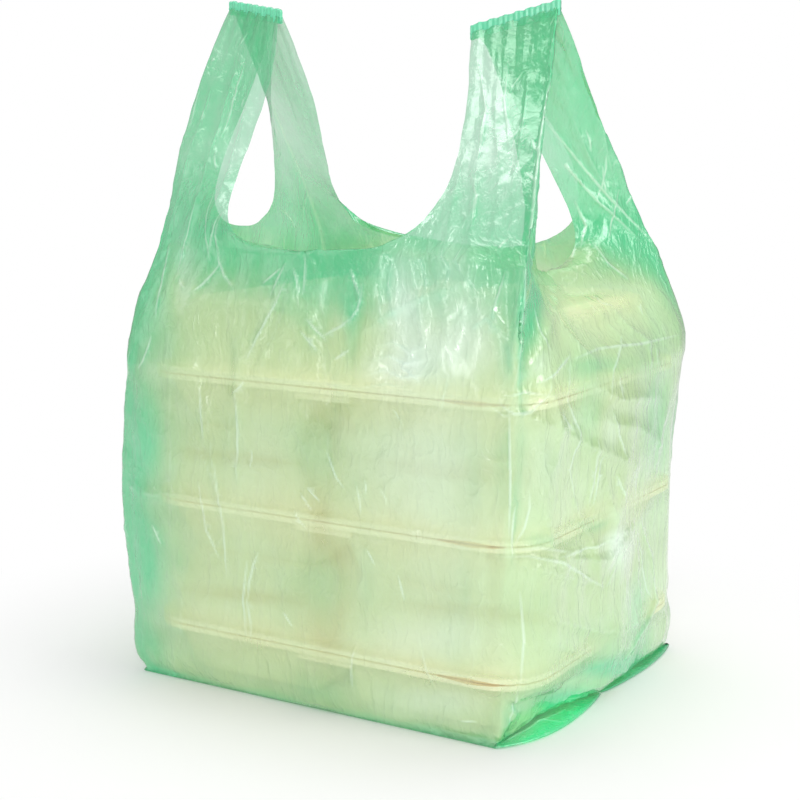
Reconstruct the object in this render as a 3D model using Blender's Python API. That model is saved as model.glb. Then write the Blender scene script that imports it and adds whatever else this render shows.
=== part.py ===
# Filled vest carrier bag of thin film, standing on its base with its two handles up.
#
# The bag is one flattened tube of film: two plain panels joined by a gusset on each side. It is
# welded across the bottom, a U is cut out of the top, and the front and back straps that are left
# are gathered and welded together at each handle. Three closed foam meal boxes, stacked inside,
# hold it open. Metres, +Z up, front towards -Y, origin under the middle of the base weld.

import math

import bmesh
import bpy
from mathutils import Vector

# Meal boxes, one thermoformed foam sheet each
BOX_LENGTH = 0.240
BOX_DEPTH = 0.200
BOX_HEIGHT = 0.0697
BOX_COUNT = 3
RIM_WIDTH = 0.007
RIM_THICKNESS = 0.0026
RIM_CORNER_RADIUS = 0.027
RIM_PARTING = 0.0009
BOX_WALL = 0.0024
BOX_WALL_LEAN = 0.007
BOX_EDGE_ROUND = 0.006
CELL_GROOVE_DEPTH = 0.014
CELL_GROOVE_WIDTH = 0.030
GROOVE_SHARE_AT_RIM = 0.25
# How much of the groove's depth the floor is raised by, from the floor over its rounding to the wall
GROOVE_LIFTS = (1.0, 0.8, 0.5)
EDGE_ROUND_SHARE = 0.3
TRAY_SHARE = 0.43
HINGE_LENGTH = 0.150
HINGE_THICKNESS = 0.0016
HINGE_INSET = 0.0004
TONGUE_LENGTH = 0.034
TONGUE_THICKNESS = 0.0018
TONGUE_REACH = 0.004
TONGUE_PLACE = 0.5
TONGUE_CLEARANCE = 0.0005
BOX_CORNER_STEPS = 5
# Across the groove, from one edge over its middle to the other
GROOVE_PLACES = (1.0, 0.5, 0.0, -0.5, -1.0)
STACK_GAP = 0.0003

# Film: its solid stands in for a sheet of 0.02 mm
FILM = 0.0004
LAYER_PITCH = 0.0008
FLOOR_GAP = 0.0003

# Bag, as it is cut and welded flat
GUSSET_DEPTH = 0.108
PANEL_WIDTH = 0.264
SEAM_LENGTH = 0.052
SEAM_HEIGHT = 0.008
SEAM_THICKNESS = 0.0038
SEAM_GATHERS = 7
SEAM_GATHER_DEPTH = 0.0006
BASE_WELD_WIDTH = 0.010
BASE_WELD_THICKNESS = 0.0018
WELD_OVERHANG = 0.0008
WELD_INSET = BASE_WELD_WIDTH / 8

# How far the film stands off the boxes at the middle of each wall, and what it draws in at the foot
WALL_SLACK = {"right": 0.0060, "left": 0.0090, "front": 0.0070, "back": 0.0045}
FOOT_INSET = {"right": 0.0085, "left": 0.0060, "front": 0.0000, "back": 0.0040}
FILM_CLEARANCE = 0.0016
LID_CLEARANCE = 0.0055

# Each corner crease, outwards from the box's corner: at the shoulder, at the foot, and the most
# that it bellies out or draws in between them
CREASE_AT_TOP = {
    ("right", "front"): (-0.0040, 0.0055),
    ("right", "back"): (0.0020, 0.0050),
    ("left", "front"): (0.0065, 0.0090),
    ("left", "back"): (0.0070, 0.0050),
}
CREASE_AT_FOOT = {
    ("right", "front"): (-0.0130, 0.0010),
    ("right", "back"): (0.0000, -0.0060),
    ("left", "front"): (0.0050, 0.0030),
    ("left", "back"): (0.0020, -0.0020),
}
CREASE_BELLY = {
    ("right", "front"): 0.0000,
    ("right", "back"): -0.0040,
    ("left", "front"): 0.0100,
    ("left", "back"): 0.0040,
}
CREASE_NOSE = 0.0030
CREASE_NOSE_WIDTH = 0.010
CORNER_RADIUS = 0.022
FOOT_RADIUS = 0.005
FOOT_HEIGHT = 0.036
EAR_REACH = 0.005
SHOULDER_UPRIGHT = 1.2
# How the ear of panel film beside the tucked gusset swells from the corner and ends at the weld
EAR_SKEW = 0.9
EAR_FULLNESS = 0.7
EAR_CORNER_FALL = 5

# Handles: middle of each weld, over the middle of the bag, and how the weld runs from its outer end
HANDLE_REACH = {"right": 0.0584, "left": 0.1084}
HANDLE_OFFSET = {"right": 0.000, "left": -0.002}
HANDLE_RISE = {"right": 0.1430, "left": 0.1530}
SEAM_FALL = {"right": 0.0113, "left": 0.0083}
SEAM_TURN = {"right": 0.000, "left": 0.020}
# The gusset's inner fold stops short of the outer end of the weld by this share of it
GUSSET_SHARE_AT_SEAM = 0.08

# Where the cut-outs begin, above the stack: side notch, front and back U, and the creases there.
# x and y are shares of the stack's half length and half depth, z is in metres.
NOTCH = {"right": (0.646, 0.0, 0.0149), "left": (-0.983, 0.0, 0.0343)}
CUT = {"front": (0.0, -1.000, 0.0310), "back": (0.0, 0.880, 0.0210)}
CREASE_START = {
    ("right", "front"): (0.982, -1.000, 0.0261),
    ("right", "back"): (0.883, 0.900, 0.0221),
    ("left", "front"): (-0.983, -0.850, 0.0256),
    ("left", "back"): (-1.025, 0.840, 0.0281),
}

# The two middle control points of each strap's three edges, in the same terms
CREASE_BEND = {
    ("right", "front"): ((0.800, -0.390, 0.1060), (0.773, -0.300, 0.1000)),
    ("right", "back"): ((0.741, 0.631, 0.0645), (0.762, 0.345, 0.1099)),
    ("left", "front"): ((-1.037, -0.536, 0.0691), (-1.077, -0.340, 0.1179)),
    ("left", "back"): ((-1.057, 0.640, 0.0744), (-1.065, 0.320, 0.1105)),
}
U_EDGE_BEND = {
    ("right", "front"): ((0.816, -1.097, 0.0300), (0.482, -0.564, 0.0894)),
    ("right", "back"): ((0.885, 0.965, 0.0233), (0.455, 0.353, 0.1105)),
    ("left", "front"): ((-0.823, -1.156, 0.0294), (-0.582, -0.396, 0.0625)),
    ("left", "back"): ((-1.320, 0.893, 0.0174), (-0.637, 0.604, 0.0576)),
}
NOTCH_EDGE_BEND = {
    ("right", "front"): ((0.753, -0.826, 0.0258), (0.834, -0.212, 0.0324)),
    ("right", "back"): ((0.642, 0.900, 0.0240), (0.669, 0.020, 0.0604)),
    ("left", "front"): ((-0.994, -0.740, 0.0350), (-0.860, -0.080, 0.1060)),
    ("left", "back"): ((-0.997, 0.600, 0.0370), (-0.990, 0.090, 0.1000)),
}

# Folds of slack film on the walls: wall, start and end as (share along the wall, height), then how
# far the fold stands out and how wide it is. Shares run from -1 at the left or front to 1.
WALL_FOLDS = [
    ("front", (0.90, 0.200), (0.80, 0.128), 0.0060, 0.012),
    ("front", (-0.70, 0.215), (-0.52, 0.060), 0.0035, 0.014),
    ("front", (-0.45, 0.205), (-0.22, 0.095), 0.0030, 0.012),
    ("front", (0.35, 0.200), (0.28, 0.030), 0.0025, 0.016),
    ("right", (-0.35, 0.165), (0.25, 0.125), 0.0060, 0.016),
    ("right", (-0.50, 0.118), (0.10, 0.085), 0.0050, 0.014),
    ("right", (0.10, 0.095), (0.75, 0.066), 0.0060, 0.015),
    ("right", (-0.65, 0.090), (-0.30, 0.030), 0.0045, 0.013),
    ("left", (-0.40, 0.180), (0.10, 0.060), 0.0060, 0.020),
    ("left", (0.45, 0.175), (0.30, 0.040), 0.0050, 0.018),
    ("back", (-0.60, 0.190), (-0.40, 0.060), 0.0040, 0.016),
    ("back", (0.10, 0.200), (0.25, 0.050), 0.0045, 0.018),
    ("back", (0.70, 0.170), (0.50, 0.090), 0.0040, 0.014),
]

# A fold starts and ends at this share of its full height
FOLD_END_SHARE = 0.25

# Grid of the film
GUSSET_COLUMNS = 7
PANEL_COLUMNS = 8
COLUMN_CROWDING = 1.35
BODY_ROWS = 10
BODY_START = 0.0026
SHOULDER_ROWS = 5
STRAP_ROWS = 10
ROW_CROWDING = 1.1
DIRECTION_STEPS = 60
DIRECTION_STRIDE = 0.4
CORNER_TURN = 0.1
CORNER_LIFT = 0.05

BOX_PITCH = BOX_HEIGHT + STACK_GAP
LAYERS_UNDER_STACK = 3
FIRST_LAYER = FLOOR_GAP + FILM / 2
STACK_FLOOR = FIRST_LAYER + (LAYERS_UNDER_STACK - 1) * LAYER_PITCH + FILM / 2 + STACK_GAP
STACK_TOP = STACK_FLOOR + BOX_COUNT * BOX_PITCH - STACK_GAP
FIRST_RIM = STACK_FLOOR + BOX_HEIGHT * TRAY_SHARE - RIM_THICKNESS
WALLS_END = STACK_TOP - BOX_HEIGHT / 2
ROW_PITCH = (WALLS_END - BODY_START) / (BODY_ROWS - 1)
HALF_LENGTH = BOX_LENGTH / 2
HALF_DEPTH = BOX_DEPTH / 2
QUARTERS = [(side, face) for side in ("right", "left") for face in ("front", "back")]
SIGN = {"right": 1, "left": -1, "front": -1, "back": 1}


def clear_scene():
    for old in list(bpy.data.objects):
        bpy.data.objects.remove(old, do_unlink=True)


def make_material(name, colour, roughness, transmission=0.0):
    material = bpy.data.materials.new(name)
    material.use_nodes = True
    shader = material.node_tree.nodes["Principled BSDF"]
    shader.inputs["Base Color"].default_value = (*colour, 1.0)
    shader.inputs["Roughness"].default_value = roughness
    shader.inputs["Transmission Weight"].default_value = transmission
    material.diffuse_color = (*colour, 1.0)
    return material


def add_object(name, bm, material=None):
    bmesh.ops.recalc_face_normals(bm, faces=bm.faces)
    mesh = bpy.data.meshes.new(name)
    bm.to_mesh(mesh)
    bm.free()
    if material:
        mesh.materials.append(material)
    made = bpy.data.objects.new(name, mesh)
    bpy.context.collection.objects.link(made)
    return made


def as_guide(thing):
    thing.hide_render = True
    thing.display_type = "WIRE"
    return thing


def join_into(body, guide):
    union = body.modifiers.new(guide.name, "BOOLEAN")
    union.operation = "UNION"
    union.solver = "EXACT"
    union.object = guide


# Film


def column_shares(count):
    """Shares of a half wall, from its crease to its middle, closer together near the crease."""
    return [(i / count) ** COLUMN_CROWDING for i in range(count + 1)]


GUSSET_SHARES = column_shares(GUSSET_COLUMNS)
PANEL_SHARES = column_shares(PANEL_COLUMNS)
# One list from the middle of the gusset, over the crease, to the middle of the panel
COLUMNS = [("gusset", share) for share in reversed(GUSSET_SHARES)]
COLUMNS += [("panel", share) for share in PANEL_SHARES[1:]]


def at_stack(place):
    """A point given in shares of the stack and metres above it."""
    x, y, z = place
    return Vector((x * HALF_LENGTH, y * HALF_DEPTH, STACK_TOP + z))


def foot_share(z):
    """1 at the foot of the walls, falling to 0 where they stand straight."""
    return max(0.0, 1.0 - z / FOOT_HEIGHT) ** 1.5


def wall_middle(wall, z):
    """How far the middle of a wall lies from the middle of the bag."""
    half = HALF_LENGTH if wall in ("right", "left") else HALF_DEPTH
    return half + WALL_SLACK[wall] - FOOT_INSET[wall] * foot_share(z)


def crease_corner(side, face, z):
    """Where two walls meet, before the corner is rounded."""
    key = (side, face)
    share = min(1.0, z / WALLS_END)
    belly = CREASE_BELLY[key] * math.sin(math.pi * share)
    x, y = (low + (high - low) * share for low, high in zip(CREASE_AT_FOOT[key], CREASE_AT_TOP[key]))
    return Vector((HALF_LENGTH + x + belly, HALF_DEPTH + y))


def clear_of_boxes(point, z):
    """Moves a point of the film out to the rounded outline of the boxes' rims, if it is inside."""
    if z < FIRST_RIM - ROW_PITCH:
        return point
    radius = RIM_CORNER_RADIUS + FILM_CLEARANCE
    centre = Vector((HALF_LENGTH - RIM_CORNER_RADIUS, HALF_DEPTH - RIM_CORNER_RADIUS))
    off = point - centre
    if off.x > 0.0 and off.y > 0.0:
        return centre + off * max(1.0, radius / off.length)
    limit = Vector((HALF_LENGTH + FILM_CLEARANCE, HALF_DEPTH + FILM_CLEARANCE))
    if off.x > 0.0:
        return Vector((max(point.x, limit.x), point.y))
    if off.y > 0.0:
        return Vector((point.x, max(point.y, limit.y)))
    return point


def bump(distance, width):
    """1 on a fold's crest, falling smoothly to 0 at its edges."""
    if abs(distance) >= width:
        return 0.0
    return 0.5 + 0.5 * math.cos(math.pi * distance / width)


def fold_height(wall, share, z):
    """How far the slack folds push the film out at one place of a wall."""
    half = HALF_DEPTH if wall in ("right", "left") else HALF_LENGTH
    out = 0.0
    for fold_wall, start, end, height, width in WALL_FOLDS:
        if fold_wall != wall:
            continue
        a = Vector((start[0] * half, start[1]))
        b = Vector((end[0] * half, end[1]))
        here = Vector((share * half, z))
        along = b - a
        t = max(0.0, min(1.0, (here - a).dot(along) / along.length_squared))
        fade = FOLD_END_SHARE + (1.0 - FOLD_END_SHARE) * math.sin(math.pi * t)
        out += height * fade * bump((here - a - along * t).length, width)
    return out


def wall_point(side, face, part, share, z):
    """A point of the standing film around the stack, below the shoulders."""
    corner = crease_corner(side, face, z)
    gusset_middle = Vector((wall_middle(side, z), 0.0))
    panel_middle = Vector((0.0, wall_middle(face, z)))
    middle = gusset_middle if part == "gusset" else panel_middle
    radius = FOOT_RADIUS + (CORNER_RADIUS - FOOT_RADIUS) * min(1.0, z / FOOT_HEIGHT)
    away = share * (middle - corner).length
    if away < radius:
        # A quarter turn that starts and ends one radius from the corner
        signed = -away if part == "gusset" else away
        turn = (signed + radius) / (2 * radius) * math.pi / 2
        along_gusset = radius * (1.0 - math.sin(turn))
        along_panel = radius * (1.0 - math.cos(turn))
        to_gusset = (gusset_middle - corner).normalized()
        to_panel = (panel_middle - corner).normalized()
        flat = corner + to_gusset * along_gusset + to_panel * along_panel
        nose = CREASE_NOSE * bump(away, CREASE_NOSE_WIDTH)
        flat += Vector((1.0, 1.0)).normalized() * nose
    else:
        flat = corner + (middle - corner) * share
    if part == "gusset":
        wall = side
        place = (1.0 - share) * SIGN[face]
        outwards = Vector((1.0, 0.0))
    else:
        wall = face
        place = (1.0 - share) * SIGN[side]
        outwards = Vector((0.0, 1.0))
    flat = clear_of_boxes(flat, z) + outwards * fold_height(wall, place, z)
    return Vector((SIGN[side] * flat.x, SIGN[face] * flat.y, z))


def tuck_edges(side, face, depth_share):
    """How far out the panel's folded edge and the gusset's diagonal lie at one depth of the base."""
    foot = wall_point(side, face, "gusset", 0.0, BODY_START)
    wall_x = wall_middle(side, BODY_START)
    corner_gap = (wall_x - abs(foot.x)) * (1.0 - depth_share) ** EAR_CORNER_FALL
    ear = EAR_REACH * math.sin(math.pi * depth_share ** EAR_SKEW) ** EAR_FULLNESS
    edge_x = wall_x - corner_gap + ear
    tuck = depth_share * wall_x * GUSSET_DEPTH / (PANEL_WIDTH / 2)
    return edge_x, min(wall_x, edge_x) - tuck


def base_point(side, face, part, share, depth_share):
    """A point of the base, where the gussets tuck in first and the panels lie under them.

    depth_share runs from 0 at the foot of the walls to 1 at the weld across the base. Beyond the
    diagonal the gusset is a flap under the boxes, and short of it a triangle turned back under
    that flap. The panel is the lowest layer.
    """
    front_y = wall_middle(face, BODY_START)
    edge_x, tuck_x = tuck_edges(side, face, depth_share)
    y = front_y - depth_share * (front_y - WELD_INSET)
    if part == "panel":
        return Vector((SIGN[side] * edge_x * (1.0 - share), SIGN[face] * y, FIRST_LAYER))
    if share <= depth_share:
        x = edge_x + (tuck_x - edge_x) * share / depth_share
        layer = 1.0
        if share == 0.0:
            layer = 0.5
        elif share == depth_share:
            layer = 1.5
        return Vector((SIGN[side] * x, SIGN[face] * y, FIRST_LAYER + layer * LAYER_PITCH))
    y = front_y - share * (front_y - WELD_INSET)
    if share == 1.0:
        y = 0.0
    # Front and back halves of the flap meet in one line at its middle
    middle_x = sum(tuck_edges(side, either, depth_share)[1] for either in ("front", "back")) / 2
    x = tuck_x + (middle_x - tuck_x) * (share - depth_share) / (1.0 - depth_share)
    return Vector((SIGN[side] * x, SIGN[face] * y, FIRST_LAYER + 2 * LAYER_PITCH))


def seam_ends(side):
    """Outer and inner end of a handle's weld, at its lower edge."""
    middle = Vector((SIGN[side] * HANDLE_REACH[side], HANDLE_OFFSET[side], STACK_TOP + HANDLE_RISE[side]))
    run = Vector((-SIGN[side], -SEAM_TURN[side] / SEAM_LENGTH, -SEAM_FALL[side] / SEAM_LENGTH))
    half = run.normalized() * SEAM_LENGTH / 2
    return middle - half, middle + half


def seam_normal(side):
    outer, inner = seam_ends(side)
    normal = (inner - outer).cross(Vector((0.0, 0.0, 1.0))).normalized()
    return normal if normal.y > 0 else -normal


def curve_point(a, b, c, d, t):
    """A cubic Bezier curve."""
    s = 1.0 - t
    return a * s ** 3 + b * 3 * s * s * t + c * 3 * s * t * t + d * t ** 3


def section_point(gusset, crease, panel, normal, part, share):
    """A point of a strap's V section. The film turns back on itself at the crease."""
    if share == 0.0:
        return crease.copy()
    if part == "gusset":
        return crease.lerp(gusset, share) - normal * LAYER_PITCH / 2 * (1.0 - share)
    return crease.lerp(panel, share) + normal * LAYER_PITCH / 2 * (1.0 - share)


def strap_row(side, face, t):
    """One section of a strap, from the cut-outs at 0 to the handle weld at 1."""
    outer, inner = seam_ends(side)
    normal = seam_normal(side) * SIGN[face]
    up = Vector((0.0, 0.0, SEAM_HEIGHT / 2))
    key = (side, face)
    b1, b2 = (at_stack(p) for p in CREASE_BEND[key])
    crease = curve_point(at_stack(CREASE_START[key]), b1, b2, outer + normal * LAYER_PITCH + up, t)
    b1, b2 = (at_stack(p) for p in U_EDGE_BEND[key])
    panel = curve_point(at_stack(CUT[face]), b1, b2, inner + normal * 1.5 * LAYER_PITCH + up, t)
    b1, b2 = (at_stack(p) for p in NOTCH_EDGE_BEND[key])
    tucked = inner + (outer - inner) * GUSSET_SHARE_AT_SEAM
    gusset = curve_point(at_stack(NOTCH[side]), b1, b2, tucked + normal * 0.5 * LAYER_PITCH + up, t)
    return [section_point(gusset, crease, panel, normal, part, share) for part, share in COLUMNS]


def clear_of_lid(point):
    """Moves a point over the top box the shortest way out of its lid, if it is inside."""
    depth = max(0.0, STACK_TOP - point.z)
    edge_share = max(0.0, 1.0 - depth / BOX_EDGE_ROUND)
    wall_share = max(0.0, 1.0 - depth / (BOX_HEIGHT * (1.0 - TRAY_SHARE)))
    inset = RIM_WIDTH + BOX_WALL_LEAN * wall_share + BOX_EDGE_ROUND * edge_share
    into_x = HALF_LENGTH - inset + LID_CLEARANCE - abs(point.x)
    into_y = HALF_DEPTH - inset + LID_CLEARANCE - abs(point.y)
    into_z = STACK_TOP + LID_CLEARANCE - point.z
    least = min(into_x, into_y, into_z)
    if least <= 0.0:
        return point
    moved = point.copy()
    if least == into_z:
        moved.z += into_z
    elif least == into_x:
        moved.x += math.copysign(into_x, point.x)
    else:
        moved.y += math.copysign(into_y, point.y)
    return moved


def shoulder_row(below, cut_row, t):
    """Between the walls and the cut-outs the film leans in over the top box."""
    row = []
    for a, b in zip(below, cut_row):
        rise = Vector((0.0, 0.0, SHOULDER_UPRIGHT * (b.z - a.z)))
        h1 = 2 * t ** 3 - 3 * t * t + 1
        h2 = t ** 3 - 2 * t * t + t
        h3 = 3 * t * t - 2 * t ** 3
        h4 = t ** 3 - t * t
        row.append(clear_of_lid(a * h1 + rise * h2 + b * h3 + (b - a) * h4))
    return row


def quarter_rows(side, face):
    """All rows of one quarter of the film, from the base weld up to the handle weld."""
    rows = []
    for depth_share in reversed(GUSSET_SHARES[1:]):
        rows.append([base_point(side, face, part, share, depth_share) for part, share in COLUMNS])
    for i in range(BODY_ROWS):
        z = BODY_START + (WALLS_END - BODY_START) * (i / (BODY_ROWS - 1)) ** ROW_CROWDING
        rows.append([wall_point(side, face, part, share, z) for part, share in COLUMNS])
    walls_end = rows[-1]
    cut_row = strap_row(side, face, 0.0)
    for i in range(1, SHOULDER_ROWS + 1):
        rows.append(shoulder_row(walls_end, cut_row, i / SHOULDER_ROWS))
    for i in range(1, STRAP_ROWS + 1):
        rows.append(strap_row(side, face, (i / STRAP_ROWS) ** ROW_CROWDING))
    return rows


def film_sheet():
    """The film as one sheet of triangles facing out of the bag, and which way its base folds point."""
    bm = bmesh.new()
    verts = {}
    folds = {}
    for side, face in QUARTERS:
        grid = []
        for row in quarter_rows(side, face):
            line = []
            for point in row:
                key = tuple(round(value, 5) for value in point)
                if key not in verts:
                    verts[key] = bm.verts.new(point)
                line.append(verts[key])
            grid.append(line)
        turned = SIGN[side] * SIGN[face] < 0
        for level, (low, high) in enumerate(zip(grid, grid[1:])):
            for i in range(len(COLUMNS) - 1):
                corners = [low[i], low[i + 1], high[i + 1], high[i]]
                shapes = [corners]
                if level < GUSSET_COLUMNS and i < GUSSET_COLUMNS:
                    # Under the base the gusset is folded along this diagonal
                    shapes = [corners[:3], [corners[0], corners[2], corners[3]]]
                for shape in shapes:
                    bm.faces.new(list(reversed(shape)) if turned else shape)
        for line in grid[:GUSSET_COLUMNS]:
            fold = line[GUSSET_COLUMNS]
            flap, panel = line[GUSSET_COLUMNS - 1], line[GUSSET_COLUMNS + 1]
            folds[fold] = (fold.co * 2 - flap.co - panel.co).normalized()
        corner = grid[GUSSET_COLUMNS][GUSSET_COLUMNS]
        folds[corner] = Vector((SIGN[side], SIGN[face] * CORNER_TURN, CORNER_LIFT)).normalized()
    bmesh.ops.triangulate(bm, faces=bm.faces)
    bm.normal_update()
    return bm, folds


def outward_direction(vert, fold):
    """The direction that lies most nearly square to every face around a vertex, folds included."""
    normals = [face.normal for face in vert.link_faces]
    out = (sum(normals, Vector()) + (fold or Vector()) * len(normals)).normalized()
    best = out
    for step in range(DIRECTION_STEPS):
        worst = min(normals, key=out.dot)
        if out.dot(worst) > min(best.dot(normal) for normal in normals):
            best = out
        out = (out + worst * DIRECTION_STRIDE / (1 + step)).normalized()
    return best


def film_mesh():
    """The sheet given its thickness, with a rim along every cut edge."""
    sheet, folds = film_sheet()
    directions = {vert: outward_direction(vert, folds.get(vert)) for vert in sheet.verts}
    bm = bmesh.new()
    outside = {v: bm.verts.new(v.co + directions[v] * FILM / 2) for v in sheet.verts}
    inside = {v: bm.verts.new(v.co - directions[v] * FILM / 2) for v in sheet.verts}
    for sheet_face in sheet.faces:
        bm.faces.new([outside[v] for v in sheet_face.verts])
        bm.faces.new([inside[v] for v in reversed(sheet_face.verts)])
    for edge in sheet.edges:
        if edge.is_boundary:
            a, b = (loop.vert for loop in (edge.link_loops[0], edge.link_loops[0].link_loop_next))
            bm.faces.new((outside[b], outside[a], inside[a], inside[b]))
    sheet.free()
    return bm


def block(name, low, high):
    bm = bmesh.new()
    bmesh.ops.create_cube(bm, size=1.0)
    for vert in bm.verts:
        vert.co = Vector(a + (b - a) * (c + 0.5) for a, b, c in zip(low, high, vert.co))
    return as_guide(add_object(name, bm))


def gathered_seam(name, side):
    """A handle's weld: four layers gathered into pleats and melted into one strip."""
    outer, inner = seam_ends(side)
    normal = seam_normal(side)
    margin = (outer - inner).normalized() * SEAM_THICKNESS / 4
    outer += margin
    inner -= margin
    steps = SEAM_GATHERS * 3
    bm = bmesh.new()
    rings = []
    for i in range(steps + 1):
        along = i / steps
        foot = outer.lerp(inner, along)
        wave = SEAM_GATHER_DEPTH * math.sin(2 * math.pi * SEAM_GATHERS * along)
        ring = []
        for height, thick in ((0.0, 1.0), (0.55, 1.0), (1.0, 0.72)):
            centre = foot + Vector((0.0, 0.0, height * SEAM_HEIGHT)) + normal * wave * height
            ring.append((centre, normal * SEAM_THICKNESS / 2 * thick))
        loop = [bm.verts.new(c - n) for c, n in ring] + [bm.verts.new(c + n) for c, n in reversed(ring)]
        rings.append(loop)
    for one, two in zip(rings, rings[1:]):
        for i in range(len(one)):
            j = (i + 1) % len(one)
            bm.faces.new((one[i], one[j], two[j], two[i]))
    bm.faces.new(list(reversed(rings[0])))
    bm.faces.new(rings[-1])
    return as_guide(add_object(name, bm))


def build_bag(material):
    bag = add_object("carrier_bag", film_mesh(), material)
    # Across the base every layer of the flattened tube is one
    weld_left, weld_right = (tuck_edges(side, "front", 1.0)[0] + WELD_OVERHANG for side in ("left", "right"))
    join_into(bag, block(
        "base_weld",
        (-weld_left, -BASE_WELD_WIDTH / 2, 0.0),
        (weld_right, BASE_WELD_WIDTH / 2, BASE_WELD_THICKNESS),
    ))
    for side in ("right", "left"):
        join_into(bag, gathered_seam(side + "_handle_weld", side))
    return bag


# Meal boxes


def tray_outline(inset, radius, groove):
    """Rounded rectangle of a box as (x, y, share), where share is 1 in the groove between its cells."""
    half_x = HALF_LENGTH - inset
    half_y = HALF_DEPTH - inset
    points = []
    for quarter, (cx, cy) in enumerate(((1, 1), (-1, 1), (-1, -1), (1, -1))):
        for i in range(BOX_CORNER_STEPS + 1):
            angle = math.pi / 2 * (quarter + i / BOX_CORNER_STEPS)
            x = cx * (half_x - radius) + radius * math.cos(angle)
            y = cy * (half_y - radius) + radius * math.sin(angle)
            points.append((x, y, 0.0))
        if cx == cy:
            # The groove crosses the long side that follows this corner
            for place in GROOVE_PLACES:
                share = 0.5 + 0.5 * math.cos(math.pi * place)
                x = cx * place * CELL_GROOVE_WIDTH / 2
                points.append((x, cy * (half_y - groove * share), share))
    return points


def tray_rings(up):
    """Inset from the rim's edge, height over the floor, corner radius, groove depth and its lift."""
    lean = BOX_WALL_LEAN
    edge = BOX_EDGE_ROUND
    radius = RIM_CORNER_RADIUS - RIM_WIDTH
    groove = CELL_GROOVE_DEPTH
    at_rim = groove * GROOVE_SHARE_AT_RIM
    floor_lift, round_lift, wall_lift = (groove * share for share in GROOVE_LIFTS)
    part_round = edge * EDGE_ROUND_SHARE
    outside = [
        (RIM_WIDTH + lean + edge, 0.0, radius - edge / 2, groove, floor_lift),
        (RIM_WIDTH + lean + part_round, part_round, radius, groove, round_lift),
        (RIM_WIDTH + lean, edge, radius, groove, wall_lift),
        (RIM_WIDTH, up - RIM_THICKNESS, radius, at_rim, 0.0),
        (0.0, up - RIM_THICKNESS, RIM_CORNER_RADIUS, 0.0, 0.0),
        (0.0, up, RIM_CORNER_RADIUS, 0.0, 0.0),
    ]
    wall = BOX_WALL
    inside = [
        (RIM_WIDTH + wall, up, radius, at_rim, 0.0),
        (RIM_WIDTH + lean + wall, edge + wall, radius, groove, wall_lift),
        (RIM_WIDTH + lean + edge + wall, wall, radius - edge / 2, groove, floor_lift),
    ]
    return outside + inside


def tray_shell(name, floor_z, up, upwards):
    """Half of a clamshell: a tray with a flat rim, or with upwards at -1 its lid."""
    bm = bmesh.new()
    rings = []
    for inset, height, radius, groove, lift in tray_rings(up):
        ring = []
        for x, y, share in tray_outline(inset, radius, groove):
            ring.append(bm.verts.new((x, y, floor_z + upwards * (height + lift * share))))
        rings.append(ring)
    for one, two in zip(rings, rings[1:]):
        for i in range(len(one)):
            j = (i + 1) % len(one)
            bm.faces.new((one[i], one[j], two[j], two[i]))
    for ring in (rings[0], rings[-1]):
        # The floor is the right cell, the groove's strips from front to back, and the left cell
        side = BOX_CORNER_STEPS + 1
        strip = len(GROOVE_PLACES)
        front = ring[side * 3 + strip:side * 3 + strip * 2]
        back = ring[side:side + strip]
        bm.faces.new(ring[:side] + [back[0], front[-1]] + ring[side * 3 + strip * 2:])
        bm.faces.new([back[-1]] + ring[side + strip:side * 3 + strip] + [front[0]])
        for i in range(strip - 1):
            j = strip - 1 - i
            bm.faces.new((back[i], back[i + 1], front[j - 1], front[j]))
    bmesh.ops.triangulate(bm, faces=[face for face in bm.faces if len(face.verts) > 4])
    return add_object(name, bm)


def build_box(name, floor_z, material):
    """A closed clamshell: tray, lid, the foam hinge behind them and the locking tongue in front."""
    tray_rim = floor_z + BOX_HEIGHT * TRAY_SHARE - RIM_PARTING / 2
    lid_rim = tray_rim + RIM_PARTING
    top = floor_z + BOX_HEIGHT
    box = tray_shell(name, floor_z, tray_rim - floor_z, 1)
    box.data.materials.append(material)

    tongue_y = RIM_WIDTH * TONGUE_PLACE - HALF_DEPTH
    half = Vector((TONGUE_LENGTH / 2, TONGUE_THICKNESS / 2))
    room = Vector((TONGUE_CLEARANCE, TONGUE_CLEARANCE))
    slot = block(
        name + "_slot",
        (-half.x - room.x, tongue_y - half.y - room.y, tray_rim - RIM_THICKNESS * 2),
        (half.x + room.x, tongue_y + half.y + room.y, tray_rim + RIM_THICKNESS),
    )
    cut = box.modifiers.new("slot", "BOOLEAN")
    cut.operation = "DIFFERENCE"
    cut.solver = "EXACT"
    cut.object = slot
    join_into(box, as_guide(tray_shell(name + "_lid", top, top - lid_rim, -1)))
    join_into(box, block(
        name + "_tongue",
        (-half.x, tongue_y - half.y, tray_rim - RIM_THICKNESS - TONGUE_REACH),
        (half.x, tongue_y + half.y, lid_rim + RIM_THICKNESS / 2),
    ))
    join_into(box, block(
        name + "_hinge",
        (-HINGE_LENGTH / 2, HALF_DEPTH - HINGE_THICKNESS - HINGE_INSET, tray_rim - RIM_THICKNESS / 2),
        (HINGE_LENGTH / 2, HALF_DEPTH - HINGE_INSET, lid_rim + RIM_THICKNESS / 2),
    ))
    return box


def main():
    clear_scene()
    film = make_material("green_film", (0.42, 0.80, 0.60), 0.28, 0.5)
    foam = make_material("cream_foam", (0.90, 0.84, 0.66), 0.62)
    build_bag(film)
    for i, place in enumerate(("bottom", "middle", "top")):
        build_box("meal_box_" + place, STACK_FLOOR + i * BOX_PITCH, foam)


main()
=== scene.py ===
# Looks of the filled vest carrier bag: thin milky green film around three foam meal boxes.
#
# The film is one fine surface laid along the same lines as the CAD bag. Its creases are placed by
# where the photograph shows them and by a seeded scatter on the sides that it doesn't show.

import math
import random

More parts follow.
